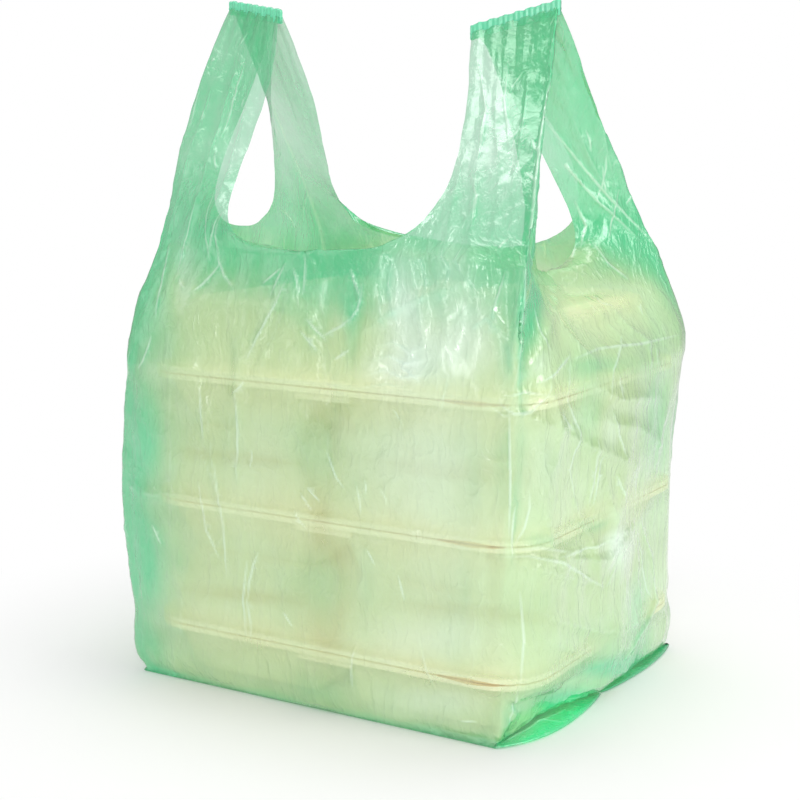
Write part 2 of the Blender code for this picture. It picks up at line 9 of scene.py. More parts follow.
import bmesh
import bpy
import numpy as np
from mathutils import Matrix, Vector, noise
from mathutils.bvhtree import BVHTree


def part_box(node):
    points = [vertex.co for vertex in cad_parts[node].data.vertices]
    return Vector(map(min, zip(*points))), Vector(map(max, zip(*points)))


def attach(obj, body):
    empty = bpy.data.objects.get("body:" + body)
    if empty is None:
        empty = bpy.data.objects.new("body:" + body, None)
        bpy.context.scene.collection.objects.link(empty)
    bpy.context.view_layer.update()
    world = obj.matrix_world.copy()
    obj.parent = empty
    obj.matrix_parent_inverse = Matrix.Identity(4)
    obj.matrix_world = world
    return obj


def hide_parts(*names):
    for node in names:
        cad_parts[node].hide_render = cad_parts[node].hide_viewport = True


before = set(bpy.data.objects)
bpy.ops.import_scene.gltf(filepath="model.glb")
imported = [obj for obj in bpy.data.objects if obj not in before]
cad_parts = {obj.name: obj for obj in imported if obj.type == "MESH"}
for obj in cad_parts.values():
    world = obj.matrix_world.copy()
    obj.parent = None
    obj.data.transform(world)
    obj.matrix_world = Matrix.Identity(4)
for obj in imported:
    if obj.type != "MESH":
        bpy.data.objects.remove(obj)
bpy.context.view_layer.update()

# Sizes taken from the frame
BOX_NODES = ("meal_box_bottom", "meal_box_middle", "meal_box_top")
LOWEST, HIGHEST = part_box("meal_box_bottom")
HALF_LENGTH = HIGHEST[0]
HALF_DEPTH = HIGHEST[1]
STACK_FLOOR = LOWEST[2]
BOX_HEIGHT = HIGHEST[2] - LOWEST[2]
BOX_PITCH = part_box("meal_box_middle")[0][2] - STACK_FLOOR
STACK_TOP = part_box("meal_box_top")[1][2]

# Film, as in the CAD bag
LAYER_PITCH = 0.0008
FIRST_LAYER = 0.0005
GUSSET_DEPTH = 0.108
PANEL_WIDTH = 0.264
SEAM_LENGTH = 0.052
SEAM_HEIGHT = 0.008
SEAM_THICKNESS = 0.0030
WELD_INSET = 0.08
BASE_WELD_WIDTH = 0.010
WALL_SLACK = {"right": 0.0060, "left": 0.0090, "front": 0.0034, "back": 0.0045}
FOOT_INSET = {"right": 0.0085, "left": 0.0060, "front": 0.0000, "back": 0.0040}
TRAY_SHARE = 0.43
RIM_CORNER_RADIUS = 0.027
RIM_WIDTH = 0.007
FILM_CLEARANCE = 0.0010
LID_CLEARANCE = 0.0030
CREASE_AT_TOP = {
    ("right", "front"): (-0.0040, 0.0055),
    ("right", "back"): (0.0020, 0.0050),
    ("left", "front"): (0.0065, 0.0090),
    ("left", "back"): (0.0070, 0.0050),
}
CREASE_AT_FOOT = {
    ("right", "front"): (-0.0130, 0.0010),
    ("right", "back"): (0.0000, -0.0060),
    ("left", "front"): (0.0050, 0.0030),
    ("left", "back"): (0.0020, -0.0020),
}
CREASE_BELLY = {
    ("right", "front"): 0.0000,
    ("right", "back"): -0.0040,
    ("left", "front"): 0.0100,
    ("left", "back"): 0.0040,
}
CREASE_NOSE = 0.0030
CREASE_NOSE_WIDTH = 0.010
CORNER_RADIUS = 0.022
FOOT_RADIUS = 0.005
FOOT_HEIGHT = 0.036
EAR_REACH = 0.005
SHOULDER_UPRIGHT = 1.2
BODY_START = 0.0026
WALLS_END = STACK_TOP - BOX_HEIGHT / 2
# Below this height the lowest tray stands back from the film
RIMS_START = STACK_FLOOR + BOX_HEIGHT * 0.3
LID_EDGE = 0.006

HANDLE_REACH = {"right": 0.0584, "left": 0.1084}
HANDLE_OFFSET = {"right": 0.000, "left": -0.002}
HANDLE_RISE = {"right": 0.1430, "left": 0.1530}
SEAM_FALL = {"right": 0.0113, "left": 0.0083}
SEAM_TURN = {"right": 0.000, "left": 0.020}

# Cut-outs and creases where they begin: shares of the stack's half length and half depth, and
# metres above the stack
NOTCH = {"right": (0.646, 0.0, 0.0149), "left": (-0.983, 0.0, 0.0343)}
CUT = {"front": (0.0, -1.000, 0.0310), "back": (0.0, 0.880, 0.0210)}
CREASE_START = {
    ("right", "front"): (0.982, -1.000, 0.0261),
    ("right", "back"): (0.883, 0.900, 0.0221),
    ("left", "front"): (-0.983, -0.850, 0.0256),
    ("left", "back"): (-1.025, 0.840, 0.0281),
}
CREASE_BEND = {
    ("right", "front"): ((0.800, -0.390, 0.1060), (0.773, -0.300, 0.1000)),
    ("right", "back"): ((0.741, 0.631, 0.0645), (0.762, 0.345, 0.1099)),
    ("left", "front"): ((-1.037, -0.536, 0.0691), (-1.077, -0.340, 0.1179)),
    ("left", "back"): ((-1.057, 0.640, 0.0744), (-1.065, 0.320, 0.1105)),
}
U_EDGE_BEND = {
    ("right", "front"): ((0.816, -1.097, 0.0300), (0.482, -0.564, 0.0894)),
    ("right", "back"): ((0.885, 0.965, 0.0233), (0.455, 0.353, 0.1105)),
    ("left", "front"): ((-0.823, -1.156, 0.0294), (-0.582, -0.396, 0.0625)),
    ("left", "back"): ((-1.320, 0.893, 0.0174), (-0.637, 0.604, 0.0576)),
}
NOTCH_EDGE_BEND = {
    ("right", "front"): ((0.753, -0.826, 0.0258), (0.834, -0.212, 0.0324)),
    ("right", "back"): ((0.642, 0.900, 0.0240), (0.669, 0.020, 0.0604)),
    ("left", "front"): ((-0.994, -0.740, 0.0350), (-0.860, -0.080, 0.1060)),
    ("left", "back"): ((-0.997, 0.600, 0.0370), (-0.990, 0.090, 0.1000)),
}

# Grid of the visible film
GUSSET_COLUMNS = 28
PANEL_COLUMNS = 36
COLUMN_CROWDING = 1.25
BODY_ROWS = 52
SHOULDER_ROWS = 20
STRAP_ROWS = 44

# Camera that took the photograph, with its picture 800 px wide
CAMERA_PLACE = Vector((0.4545, -0.7676, 0.3023))
CAMERA_TURN = math.radians(31.3)
CAMERA_TILT = math.radians(9.56)
CAMERA_FOCAL_PX = 1602.0
PICTURE_PX = 800.0
SENSOR_MM = 36.0

# Room: the floor's shadow fades out between these distances from the middle
WORLD_LIGHT = 0.44
SHADOW_FADE = (0.13, 0.34)
FLOOR_RADIUS = 9.0

# Finishes
FILM_COLOUR = (0.045, 0.55, 0.22, 1.0)
WELD_COLOUR = (0.18, 0.84, 0.50, 1.0)
FOAM_WARM = (0.90, 0.82, 0.56, 1.0)
FOAM_PALE = (0.92, 0.87, 0.66, 1.0)
# Painted glow of light through the film, stronger in the folded pocket at the right front foot
LIGHT_THROUGH = (0.011, 0.137, 0.055, 1.0)
LIGHT_THROUGH_FOLDS = (0.02, 0.72, 0.24, 1.0)
# Film over the painted shade in the gaps between the boxes, and over lit foam
FILM_OVER_SHADED_GAP = (0.52, 0.51, 0.20, 1.0)
FILM_OVER_FOAM = (0.72, 0.87, 0.49, 1.0)
# Painted highlight along the sharp crests of the creases
CREST_HIGHLIGHT_COLOUR = (0.80, 0.95, 0.82, 1.0)
# Painted shade in the gap between lid and tray, and the foam's painted glow
PARTING_SHADE_COLOUR = (0.66, 0.42, 0.17, 1.0)
FOAM_GLOW = (0.40, 0.32, 0.18, 1.0)
PARTING_SHADE_HALF_HEIGHT = 0.0004
# Near the right end of the front rims lid and tray stand apart, and the painted shade of their gap is wider
# there
SLIT_MIDDLE = 0.088
SLIT_HALF_LENGTH = 0.019
SLIT_HALF_HEIGHT = 0.0012
SLIT_DEPTH = 0.012
FOAM_GRAIN = 900.0
CLOUD_SPAN = (0.32, 0.68)
# How much one layer hides at each distance from a box, in metres
VEIL_STAGES = [
    (0.0, 0.24), (0.0012, 0.28), (0.0045, 0.55), (0.010, 0.70), (0.018, 0.86), (0.040, 0.80), (0.075, 0.62),
]
VEIL_LIMITS = (0.05, 0.95)
VEIL_FOR_SHADOWS = 0.30
VEIL_PASSES = 2
CREST_HIGHLIGHT_VEIL = 0.28
PATCH_VEIL = 0.15
# Rays that gather the foam's light behind each place of the film: how many, their spread, their
# reach below and above the walls' top, and over what distance the light falls off
GLOW_RAYS = 14
GLOW_SPREAD = 0.42
GLOW_LONGEST = 0.080
GLOW_LONGEST_ABOVE = 0.045
GLOW_START = 0.004
GLOW_REACH = 0.012
GLOW_PASSES = 4
RAY_OFFSET = 0.0005
FAR_FOAM_LOSS = 0.5
# The left wall is in the shade and the right one in the light: by how far the film faces right
GLOW_BY_SIDE = [(-0.9, 0.58), (-0.35, 0.76), (0.0, 1.0), (0.6, 0.95), (1.0, 0.92)]
VEIL_BY_SIDE = [(-0.9, 0.04), (-0.4, 0.0), (0.3, 0.0), (0.8, 0.20)]
GLOW_GAIN = 1.15
SHARE_GAIN = 0.92

# Creases: how many are scattered, the widest fine one in mm, and how they are raised and given a painted
# highlight along their crests
SCATTER_SEED = 7
SCATTERED_FOLDS = 40
SCATTERED_WRINKLES = 150
FINE_WIDTH = 3.5
REFINED_AROUND = 0.0025
REFINED_TWICE_AROUND = 0.0018
LEAST_REACH = 0.004
CREASE_SHARE = 0.6
STEEP_FLANK = 0.55
CREST_SHARPNESS = 1.7
CREST_HIGHLIGHT_STRENGTH = 0.62
BROAD_CREST_HIGHLIGHT = 0.25
# Share of a place's height above a crease's path that doesn't count as distance from it
OFFSET_IGNORED = 0.9
# Width of the painted highlight along a sharp crest
CREST_HIGHLIGHT_WIDTH = 0.0011
# The walls curl under the stack within this height of the floor
FOOT_CURL = 0.0042
FOOT_CURL_HEIGHT = 0.010
FOOT_CORNER_CURL = 0.0070
FOOT_CORNER_HEIGHT = 0.018
# The pocket of film that stands up beside the tucked gusset at the right front foot
EAR_LIFT = 0.0085
EAR_INNER = 0.101
EAR_OUTER = 0.116
EAR_MIDDLE = -0.060
EAR_HALF_WIDTH = 0.060
EAR_TOP = 0.016
EAR_CRUMPLE = 0.8
EAR_CRUMPLES_PER_METRE = 95.0
# Fine pleats that run down from a handle's weld
STRAP_PLEATS = 5.5
STRAP_PLEAT_DEPTH = 0.0007
# A handle's weld: height and thickness shares of its section, with how far its gathers swing there
WELD_SECTION = (
    (0.0, 0.45, 1.0), (0.10, 0.85, 1.0), (0.30, 0.75, 0.9), (0.42, 1.0, 0.7),
    (0.55, 0.72, 0.9), (0.80, 0.85, 0.8), (0.94, 0.7, 0.9), (1.0, 0.3, 1.0),
)
WELD_STEPS = 168
WELD_GATHERS = 17
WELD_WAVE = 0.0004
WELD_TOP_WAVE = 0.0003
WELD_SEED = {"right": 11, "left": 12}
# Slack of the film between its creases: shift of the noise, ridges per metre, how much longer they
# are along z, and height
SLACK_LAYERS = [
    ((0.0, 0.0, 0.0), 18.0, 2.6, 0.0010),
    ((3.1, 0.0, 0.0), 60.0, 2.2, 0.00055),
    ((0.0, 7.7, 0.0), 150.0, 1.4, 0.00030),
]
SLACK_PATCHES = 14.0
SLACK_AT_WELD = 0.15
SLACK_BELOW_WELD = 0.03
SLACK_ON_BOX = 0.06
SLACK_CLEARANCE = 0.0012
SLACK_WITHIN = 0.006
# Ridges of the crinkled film: which input weighs them, their height share, and how many per metre
RIDGE_LAYERS = [
    ("Streaks", 0.55, (60.0, 60.0, 15.0)),
    ("Streaks", 0.30, (150.0, 150.0, 45.0)),
    ("Cells", 0.16, (110.0, 110.0, 80.0)),
    ("Cells", 0.08, (320.0, 320.0, 200.0)),
]
RIDGE_BEND = (0.016, 0.016, 0.030)
RIDGE_BEND_SCALE = 28.0
RIDGE_HALF_WIDTH = 0.10
RIDGE_SHARPNESS = 1.6
# How much the ridges whiten the film, a painted sheen along them
RIDGE_PAINTED_SHEEN = 0.07

QUARTERS = [(side, face) for side in ("right", "left") for face in ("front", "back")]
SIGN = {"right": 1, "left": -1, "front": -1, "back": 1}

# Narrow lamps that show only in glossy reflections: name, place, size and power
GLINT_STRIPS = [
    ("glint_strip_right", (1.1, -0.9, 0.5), (0.04, 1.2), 1.4),
    ("glint_strip_left", (-0.5, -1.6, 0.5), (0.04, 1.0), 1.2),
    ("glint_strip_top", (0.3, -0.8, 1.3), (1.0, 0.04), 1.1),
]

# Film surface


def column_shares(count):
    """Shares of a half wall, from its crease to its middle, closer together near the crease."""
    return [(i / count) ** COLUMN_CROWDING for i in range(count + 1)]


GUSSET_SHARES = column_shares(GUSSET_COLUMNS)
COLUMNS = [("gusset", share) for share in reversed(GUSSET_SHARES)]
COLUMNS += [("panel", share) for share in column_shares(PANEL_COLUMNS)[1:]]


def at_stack(place):
    """A point given in shares of the stack and metres above it."""
    x, y, z = place
    return Vector((x * HALF_LENGTH, y * HALF_DEPTH, STACK_TOP + z))


def bump(distance, width):
    """1 on a fold's crest, falling smoothly to 0 at its edges."""
    if abs(distance) >= width:
        return 0.0
    return 0.5 + 0.5 * math.cos(math.pi * distance / width)


def wall_middle(wall, z):
    """How far the middle of a wall lies from the middle of the bag."""
    half = HALF_LENGTH if wall in ("right", "left") else HALF_DEPTH
    foot = max(0.0, 1.0 - z / FOOT_HEIGHT) ** 1.5
    curl = max(0.0, 1.0 - z / FOOT_CURL_HEIGHT) ** 2
    return half + WALL_SLACK[wall] - FOOT_INSET[wall] * foot - FOOT_CURL * curl


def crease_corner(side, face, z):
    """Where two walls meet, before the corner is rounded."""
    key = (side, face)
    share = min(1.0, z / WALLS_END)
    belly = CREASE_BELLY[key] * math.sin(math.pi * share)
    x, y = (low + (high - low) * share for low, high in zip(CREASE_AT_FOOT[key], CREASE_AT_TOP[key]))
    curl = FOOT_CORNER_CURL * max(0.0, 1.0 - z / FOOT_CORNER_HEIGHT) ** 2
    return Vector((HALF_LENGTH + x + belly - curl, HALF_DEPTH + y - curl))


def clear_of_boxes(point, z):
    """Moves a point of the film out to the rounded outline of the boxes' rims, if it is inside."""
    if z < RIMS_START:
        return point
    centre = Vector((HALF_LENGTH - RIM_CORNER_RADIUS, HALF_DEPTH - RIM_CORNER_RADIUS))
    off = point - centre
    if off.x > 0.0 and off.y > 0.0:
        return centre + off * max(1.0, (RIM_CORNER_RADIUS + FILM_CLEARANCE) / off.length)
    if off.x > 0.0:
        return Vector((max(point.x, HALF_LENGTH + FILM_CLEARANCE), point.y))
    if off.y > 0.0:
        return Vector((point.x, max(point.y, HALF_DEPTH + FILM_CLEARANCE)))
    return point


def wall_point(side, face, part, share, z):
    """A point of the standing film around the stack, below the shoulders."""
    corner = crease_corner(side, face, z)
    gusset_middle = Vector((wall_middle(side, z), 0.0))
    panel_middle = Vector((0.0, wall_middle(face, z)))
    middle = gusset_middle if part == "gusset" else panel_middle
    radius = FOOT_RADIUS + (CORNER_RADIUS - FOOT_RADIUS) * min(1.0, z / FOOT_HEIGHT)
    away = share * (middle - corner).length
    if away < radius:
        signed = -away if part == "gusset" else away
        turn = (signed + radius) / (2 * radius) * math.pi / 2
        to_gusset = (gusset_middle - corner).normalized() * radius * (1.0 - math.sin(turn))
        to_panel = (panel_middle - corner).normalized() * radius * (1.0 - math.cos(turn))
        nose = CREASE_NOSE * bump(away, CREASE_NOSE_WIDTH)
        flat = corner + to_gusset + to_panel + Vector((1.0, 1.0)).normalized() * nose
    else:
        flat = corner + (middle - corner) * share
    flat = clear_of_boxes(flat, z)
    return Vector((SIGN[side] * flat.x, SIGN[face] * flat.y, z))


def tuck_edges(side, face, depth_share):
    """How far out the panel's folded edge and the gusset's diagonal lie at one depth of the base."""
    foot = wall_point(side, face, "gusset", 0.0, BODY_START)
    wall_x = wall_middle(side, BODY_START)
    corner_gap = (wall_x - abs(foot.x)) * (1.0 - depth_share) ** 5
    ear = EAR_REACH * math.sin(math.pi * depth_share ** 0.9) ** 0.7
    edge_x = wall_x - corner_gap + ear
    tuck = depth_share * wall_x * GUSSET_DEPTH / (PANEL_WIDTH / 2)
    return edge_x, min(wall_x, edge_x) - tuck


def base_point(side, face, part, share, depth_share):
    """A point of the folded base: gusset flap on top, its turned-back triangle, panel lowest."""
    front_y = wall_middle(face, BODY_START)
    edge_x, tuck_x = tuck_edges(side, face, depth_share)
    weld_inset = BASE_WELD_WIDTH / 8
    y = front_y - depth_share * (front_y - weld_inset)
    if part == "panel":
        return Vector((SIGN[side] * edge_x * (1.0 - share), SIGN[face] * y, FIRST_LAYER))
    if share <= depth_share:
        x = edge_x + (tuck_x - edge_x) * share / depth_share
        layer = 1.0
        if share == 0.0:
            layer = 0.5
        elif share == depth_share:
            layer = 1.5
        return Vector((SIGN[side] * x, SIGN[face] * y, FIRST_LAYER + layer * LAYER_PITCH))
    y = front_y - share * (front_y - weld_inset)
    if share == 1.0:
        y = 0.0
    middle_x = sum(tuck_edges(side, either, depth_share)[1] for either in ("front", "back")) / 2
    x = tuck_x + (middle_x - tuck_x) * (share - depth_share) / (1.0 - depth_share)
    return Vector((SIGN[side] * x, SIGN[face] * y, FIRST_LAYER + 2 * LAYER_PITCH))


def ear_lift(point):
    """How far the pocket at the right front foot stands up at one place."""
    out = min(1.0, max(0.0, (point.x - EAR_INNER) / (EAR_OUTER - EAR_INNER)))
    along = bump(point.y - EAR_MIDDLE, EAR_HALF_WIDTH)
    crumple = 1.0 + EAR_CRUMPLE * noise.noise(Vector((point.x, point.y, 0.0)) * EAR_CRUMPLES_PER_METRE)
    return EAR_LIFT * out * out * (3.0 - 2.0 * out) * along * crumple


def seam_ends(side):
    """Outer and inner end of a handle's weld, at its lower edge."""
    middle = Vector((SIGN[side] * HANDLE_REACH[side], HANDLE_OFFSET[side], STACK_TOP + HANDLE_RISE[side]))
    run = Vector((-SIGN[side], -SEAM_TURN[side] / SEAM_LENGTH, -SEAM_FALL[side] / SEAM_LENGTH))
    half = run.normalized() * SEAM_LENGTH / 2
    return middle - half, middle + half


def seam_normal(side):
    outer, inner = seam_ends(side)
    normal = (inner - outer).cross(Vector((0.0, 0.0, 1.0))).normalized()
    return normal if normal.y > 0 else -normal


def curve_point(a, b, c, d, t):
    """A cubic Bezier curve."""
    s = 1.0 - t
    return a * s ** 3 + b * 3 * s * s * t + c * 3 * s * t * t + d * t ** 3


def strap_row(side, face, t):
    """One section of a strap, from the cut-outs at 0 to the handle weld at 1."""
    outer, inner = seam_ends(side)
    normal = seam_normal(side) * SIGN[face]
    up = Vector((0.0, 0.0, SEAM_HEIGHT / 2))
    key = (side, face)
    tucked = inner + (outer - inner) * WELD_INSET
    crease, panel, gusset = (
        curve_point(at_stack(start), at_stack(bend[0]), at_stack(bend[1]), end + normal * layer + up, t)
        for start, bend, end, layer in (
            (CREASE_START[key], CREASE_BEND[key], outer, LAYER_PITCH),
            (CUT[face], U_EDGE_BEND[key], inner, 1.5 * LAYER_PITCH),
            (NOTCH[side], NOTCH_EDGE_BEND[key], tucked, 0.5 * LAYER_PITCH),
        )
    )
    row = []
    for part, share in COLUMNS:
        pleat = math.sin(2 * math.pi * STRAP_PLEATS * share + 1.3 * SIGN[side])
        pleat += 0.5 * math.sin(2 * math.pi * STRAP_PLEATS * 2.3 * share)
        ripple = normal * pleat * STRAP_PLEAT_DEPTH * t ** 4
        if share == 0.0:
            row.append(crease.copy())
        elif part == "gusset":
            row.append(crease.lerp(gusset, share) - normal * LAYER_PITCH / 2 * (1.0 - share) + ripple)
        else:
            row.append(crease.lerp(panel, share) + normal * LAYER_PITCH / 2 * (1.0 - share) + ripple)
    return row


def clear_of_lid(point):
    """Moves a point over the top box the shortest way out of its lid, if it is inside."""
    depth = max(0.0, STACK_TOP - point.z)
    edge_share = max(0.0, 1.0 - depth / LID_EDGE)
    wall_share = max(0.0, 1.0 - depth / (BOX_HEIGHT / 2))
    inset = RIM_WIDTH * (1.0 + wall_share) + LID_EDGE * edge_share
    into_x = HALF_LENGTH - inset + LID_CLEARANCE - abs(point.x)
    into_y = HALF_DEPTH - inset + LID_CLEARANCE - abs(point.y)
    into_z = STACK_TOP + LID_CLEARANCE - point.z
    least = min(into_x, into_y, into_z)
    if least <= 0.0:
        return point
    moved = point.copy()
    if least == into_z:
        moved.z += into_z
    elif least == into_x:
        moved.x += math.copysign(into_x, point.x)
    else:
        moved.y += math.copysign(into_y, point.y)
    return moved


def shoulder_row(below, cut_row, t):
    """Between the walls and the cut-outs the film leans in over the top box."""
    h1 = 2 * t ** 3 - 3 * t * t + 1
    h2 = t ** 3 - 2 * t * t + t
    h3 = 3 * t * t - 2 * t ** 3
    h4 = t ** 3 - t * t
    row = []
    for a, b in zip(below, cut_row):
        rise = Vector((0.0, 0.0, SHOULDER_UPRIGHT * (b.z - a.z)))
        row.append(clear_of_lid(a * h1 + rise * h2 + b * h3 + (b - a) * h4))
    return row


def quarter_rows(side, face):
    """All rows of one quarter of the film, from the base weld up to the handle weld."""
    rows = []
    for depth_share in reversed(GUSSET_SHARES[1:]):
        row = []
        for part, share in COLUMNS:
            point = base_point(side, face, part, share, depth_share)
            if part == "gusset":
                point.z += ear_lift(point) * min(1.0, share / depth_share)
            row.append(point)
        rows.append(row)
    for i in range(BODY_ROWS):
        z = BODY_START + (WALLS_END - BODY_START) * (i / (BODY_ROWS - 1)) ** 1.1
        row = [wall_point(side, face, part, share, z) for part, share in COLUMNS]
        for (part, share), point in zip(COLUMNS, row):
            if part == "gusset":
                point.z += ear_lift(point) * max(0.0, 1.0 - z / FOOT_HEIGHT) ** 2 * min(1.0, share * 6.0)
        rows.append(row)
    walls_end = rows[-1]
    cut_row = strap_row(side, face, 0.0)
    for i in range(1, SHOULDER_ROWS + 1):
        rows.append(shoulder_row(walls_end, cut_row, i / SHOULDER_ROWS))
    for i in range(1, STRAP_ROWS + 1):
        rows.append(strap_row(side, face, (i / STRAP_ROWS) ** 1.1))
    return rows


def smooth_film():
    """The film as one surface facing out of the bag, before its creases."""
    bm = bmesh.new()
    verts = {}
    for side, face in QUARTERS:
        grid = []
        for row in quarter_rows(side, face):
            line = []
            for point in row:
                key = tuple(round(value, 5) for value in point)
                if key not in verts:
                    verts[key] = bm.verts.new(point)
                line.append(verts[key])
            grid.append(line)
        turned = SIGN[side] * SIGN[face] < 0
        for level, (low, high) in enumerate(zip(grid, grid[1:])):
            for i in range(len(COLUMNS) - 1):
                corners = [low[i], low[i + 1], high[i + 1], high[i]]
                shapes = [corners]
                if level < GUSSET_COLUMNS and i < GUSSET_COLUMNS:
                    shapes = [corners[:3], [corners[0], corners[2], corners[3]]]
                for shape in shapes:
                    if len(set(shape)) == len(shape):
                        bm.faces.new(list(reversed(shape)) if turned else shape)
    return bm


def make_object(name, bm):
    mesh = bpy.data.meshes.new(name)
    bm.to_mesh(mesh)
    bm.free()
    mesh.shade_smooth()
    made = bpy.data.objects.new(name, mesh)
    bpy.context.collection.objects.link(made)
    return made


# Camera


def place_camera():
    data = bpy.data.cameras.new("photo_camera")
    data.sensor_width = SENSOR_MM
    data.lens = CAMERA_FOCAL_PX / PICTURE_PX * SENSOR_MM
    camera = bpy.data.objects.new("photo_camera", data)
    camera.location = CAMERA_PLACE
    camera.rotation_euler = (math.pi / 2 - CAMERA_TILT, 0.0, CAMERA_TURN)
    bpy.context.collection.objects.link(camera)
    bpy.context.scene.camera = camera


def camera_axes():
    """The camera's right, up and ahead directions."""
    right = Vector((math.cos(CAMERA_TURN), math.sin(CAMERA_TURN), 0.0))
    level = Vector((-math.sin(CAMERA_TURN), math.cos(CAMERA_TURN), 0.0))
    ahead = level * math.cos(CAMERA_TILT) - Vector((0.0, 0.0, math.sin(CAMERA_TILT)))
    return right, right.cross(ahead), ahead


def photo_ray(u, v):
    """Direction from the camera through a pixel of the 800 px picture."""
    right, up, ahead = camera_axes()
    middle = PICTURE_PX / 2
    return (ahead + right * (u - middle) / CAMERA_FOCAL_PX - up * (v - middle) / CAMERA_FOCAL_PX).normalized()


# Creases that the photograph shows: pixels along the crest, height and width in mm. A positive
# height stands out of the bag and a negative one is pressed in.
PHOTO_CREASES = [
    # Front panel, long folds that hang from the cut-out
    ([(252, 262), (244, 330), (232, 420), (226, 520)], 2.2, 9),
    ([(290, 262), (262, 330), (236, 372)], 2.0, 8),
    ([(300, 268), (282, 320), (252, 380)], 1.6, 7),
    ([(330, 262), (322, 330), (330, 420), (322, 520)], -2.0, 10),
    ([(362, 246), (352, 300), (346, 372)], 2.2, 9),
    ([(410, 246), (418, 300), (426, 360)], 2.6, 10),
    ([(430, 236), (440, 290), (452, 350)], 2.0, 8),
    ([(466, 150), (452, 215), (446, 270)], 2.6, 9),
    ([(486, 90), (478, 170), (470, 250), (480, 330)], 2.4, 9),
    ([(230, 300), (240, 380), (238, 470), (248, 560)], 1.4, 6),
    ([(176, 330), (170, 420), (172, 520), (180, 610)], 1.8, 9),
    ([(205, 380), (214, 470), (226, 560)], 1.2, 6),
    # Pull lines from the rims
    ([(488, 556), (540, 570), (602, 586)], 3.0, 9),
    ([(497, 400), (530, 420), (570, 436)], 2.4, 8),
    ([(150, 490), (240, 506), (360, 530), (493, 550)], 1.2, 6),
    ([(150, 365), (260, 378), (380, 390), (497, 400)], 1.0, 6),
    ([(159, 614), (260, 640), (380, 662), (515, 686)], 1.2, 6),
    # Pleat at the right shoulder and its pocket
    ([(522, 262), (516, 320), (512, 380)], 2.5, 7),
    ([(556, 278), (546, 330), (520, 382)], 3.0, 8),
    ([(545, 300), (570, 340), (600, 366)], 2.4, 8),
    ([(600, 300), (632, 330), (660, 352)], 2.0, 8),
    # Right side
    ([(548, 380), (560, 430), (552, 480)], 3.0, 9),
    ([(560, 430), (598, 452), (640, 470)], 3.0, 9),
    ([(600, 470), (616, 520), (608, 566)], 3.2, 9),
    ([(636, 525), (606, 560), (558, 560)], 3.4, 9),
    ([(641, 520), (652, 560), (656, 600), (624, 661)], 3.0, 8),
    ([(572, 500), (590, 540), (600, 586)], 2.4, 8),
    ([(520, 600), (552, 620), (600, 632), (650, 622)], 2.6, 9),
    ([(540, 640), (590, 656), (640, 644)], 2.4, 8),
    ([(580, 380), (620, 400), (664, 398)], 2.4, 9),
    ([(590, 420), (640, 430), (668, 452)], 2.0, 8),
    ([(525, 470), (545, 520), (556, 558)], 2.4, 8),
    # Foot of the right front corner
    ([(533, 722), (546, 707), (566, 695), (616, 674), (644, 665)], 3.2, 7),
    ([(500, 700), (516, 716), (525, 736)], 2.0, 6),
    # Straps
    ([(541, 130), (600, 205), (640, 240), (672, 275)], 2.4, 7),
    ([(560, 90), (590, 160), (630, 230)], 2.0, 8),
    ([(245, 40), (225, 110), (200, 190), (178, 260)], 2.2, 8),
    ([(258, 50), (246, 110), (226, 180), (206, 250)], 1.8, 7),
    ([(222, 60), (196, 140), (168, 230), (150, 300)], 1.6, 8),
    ([(500, 40), (496, 110), (500, 180), (492, 250)], 2.0, 8),
    ([(530, 40), (524, 120), (512, 200)], 1.8, 7),
]


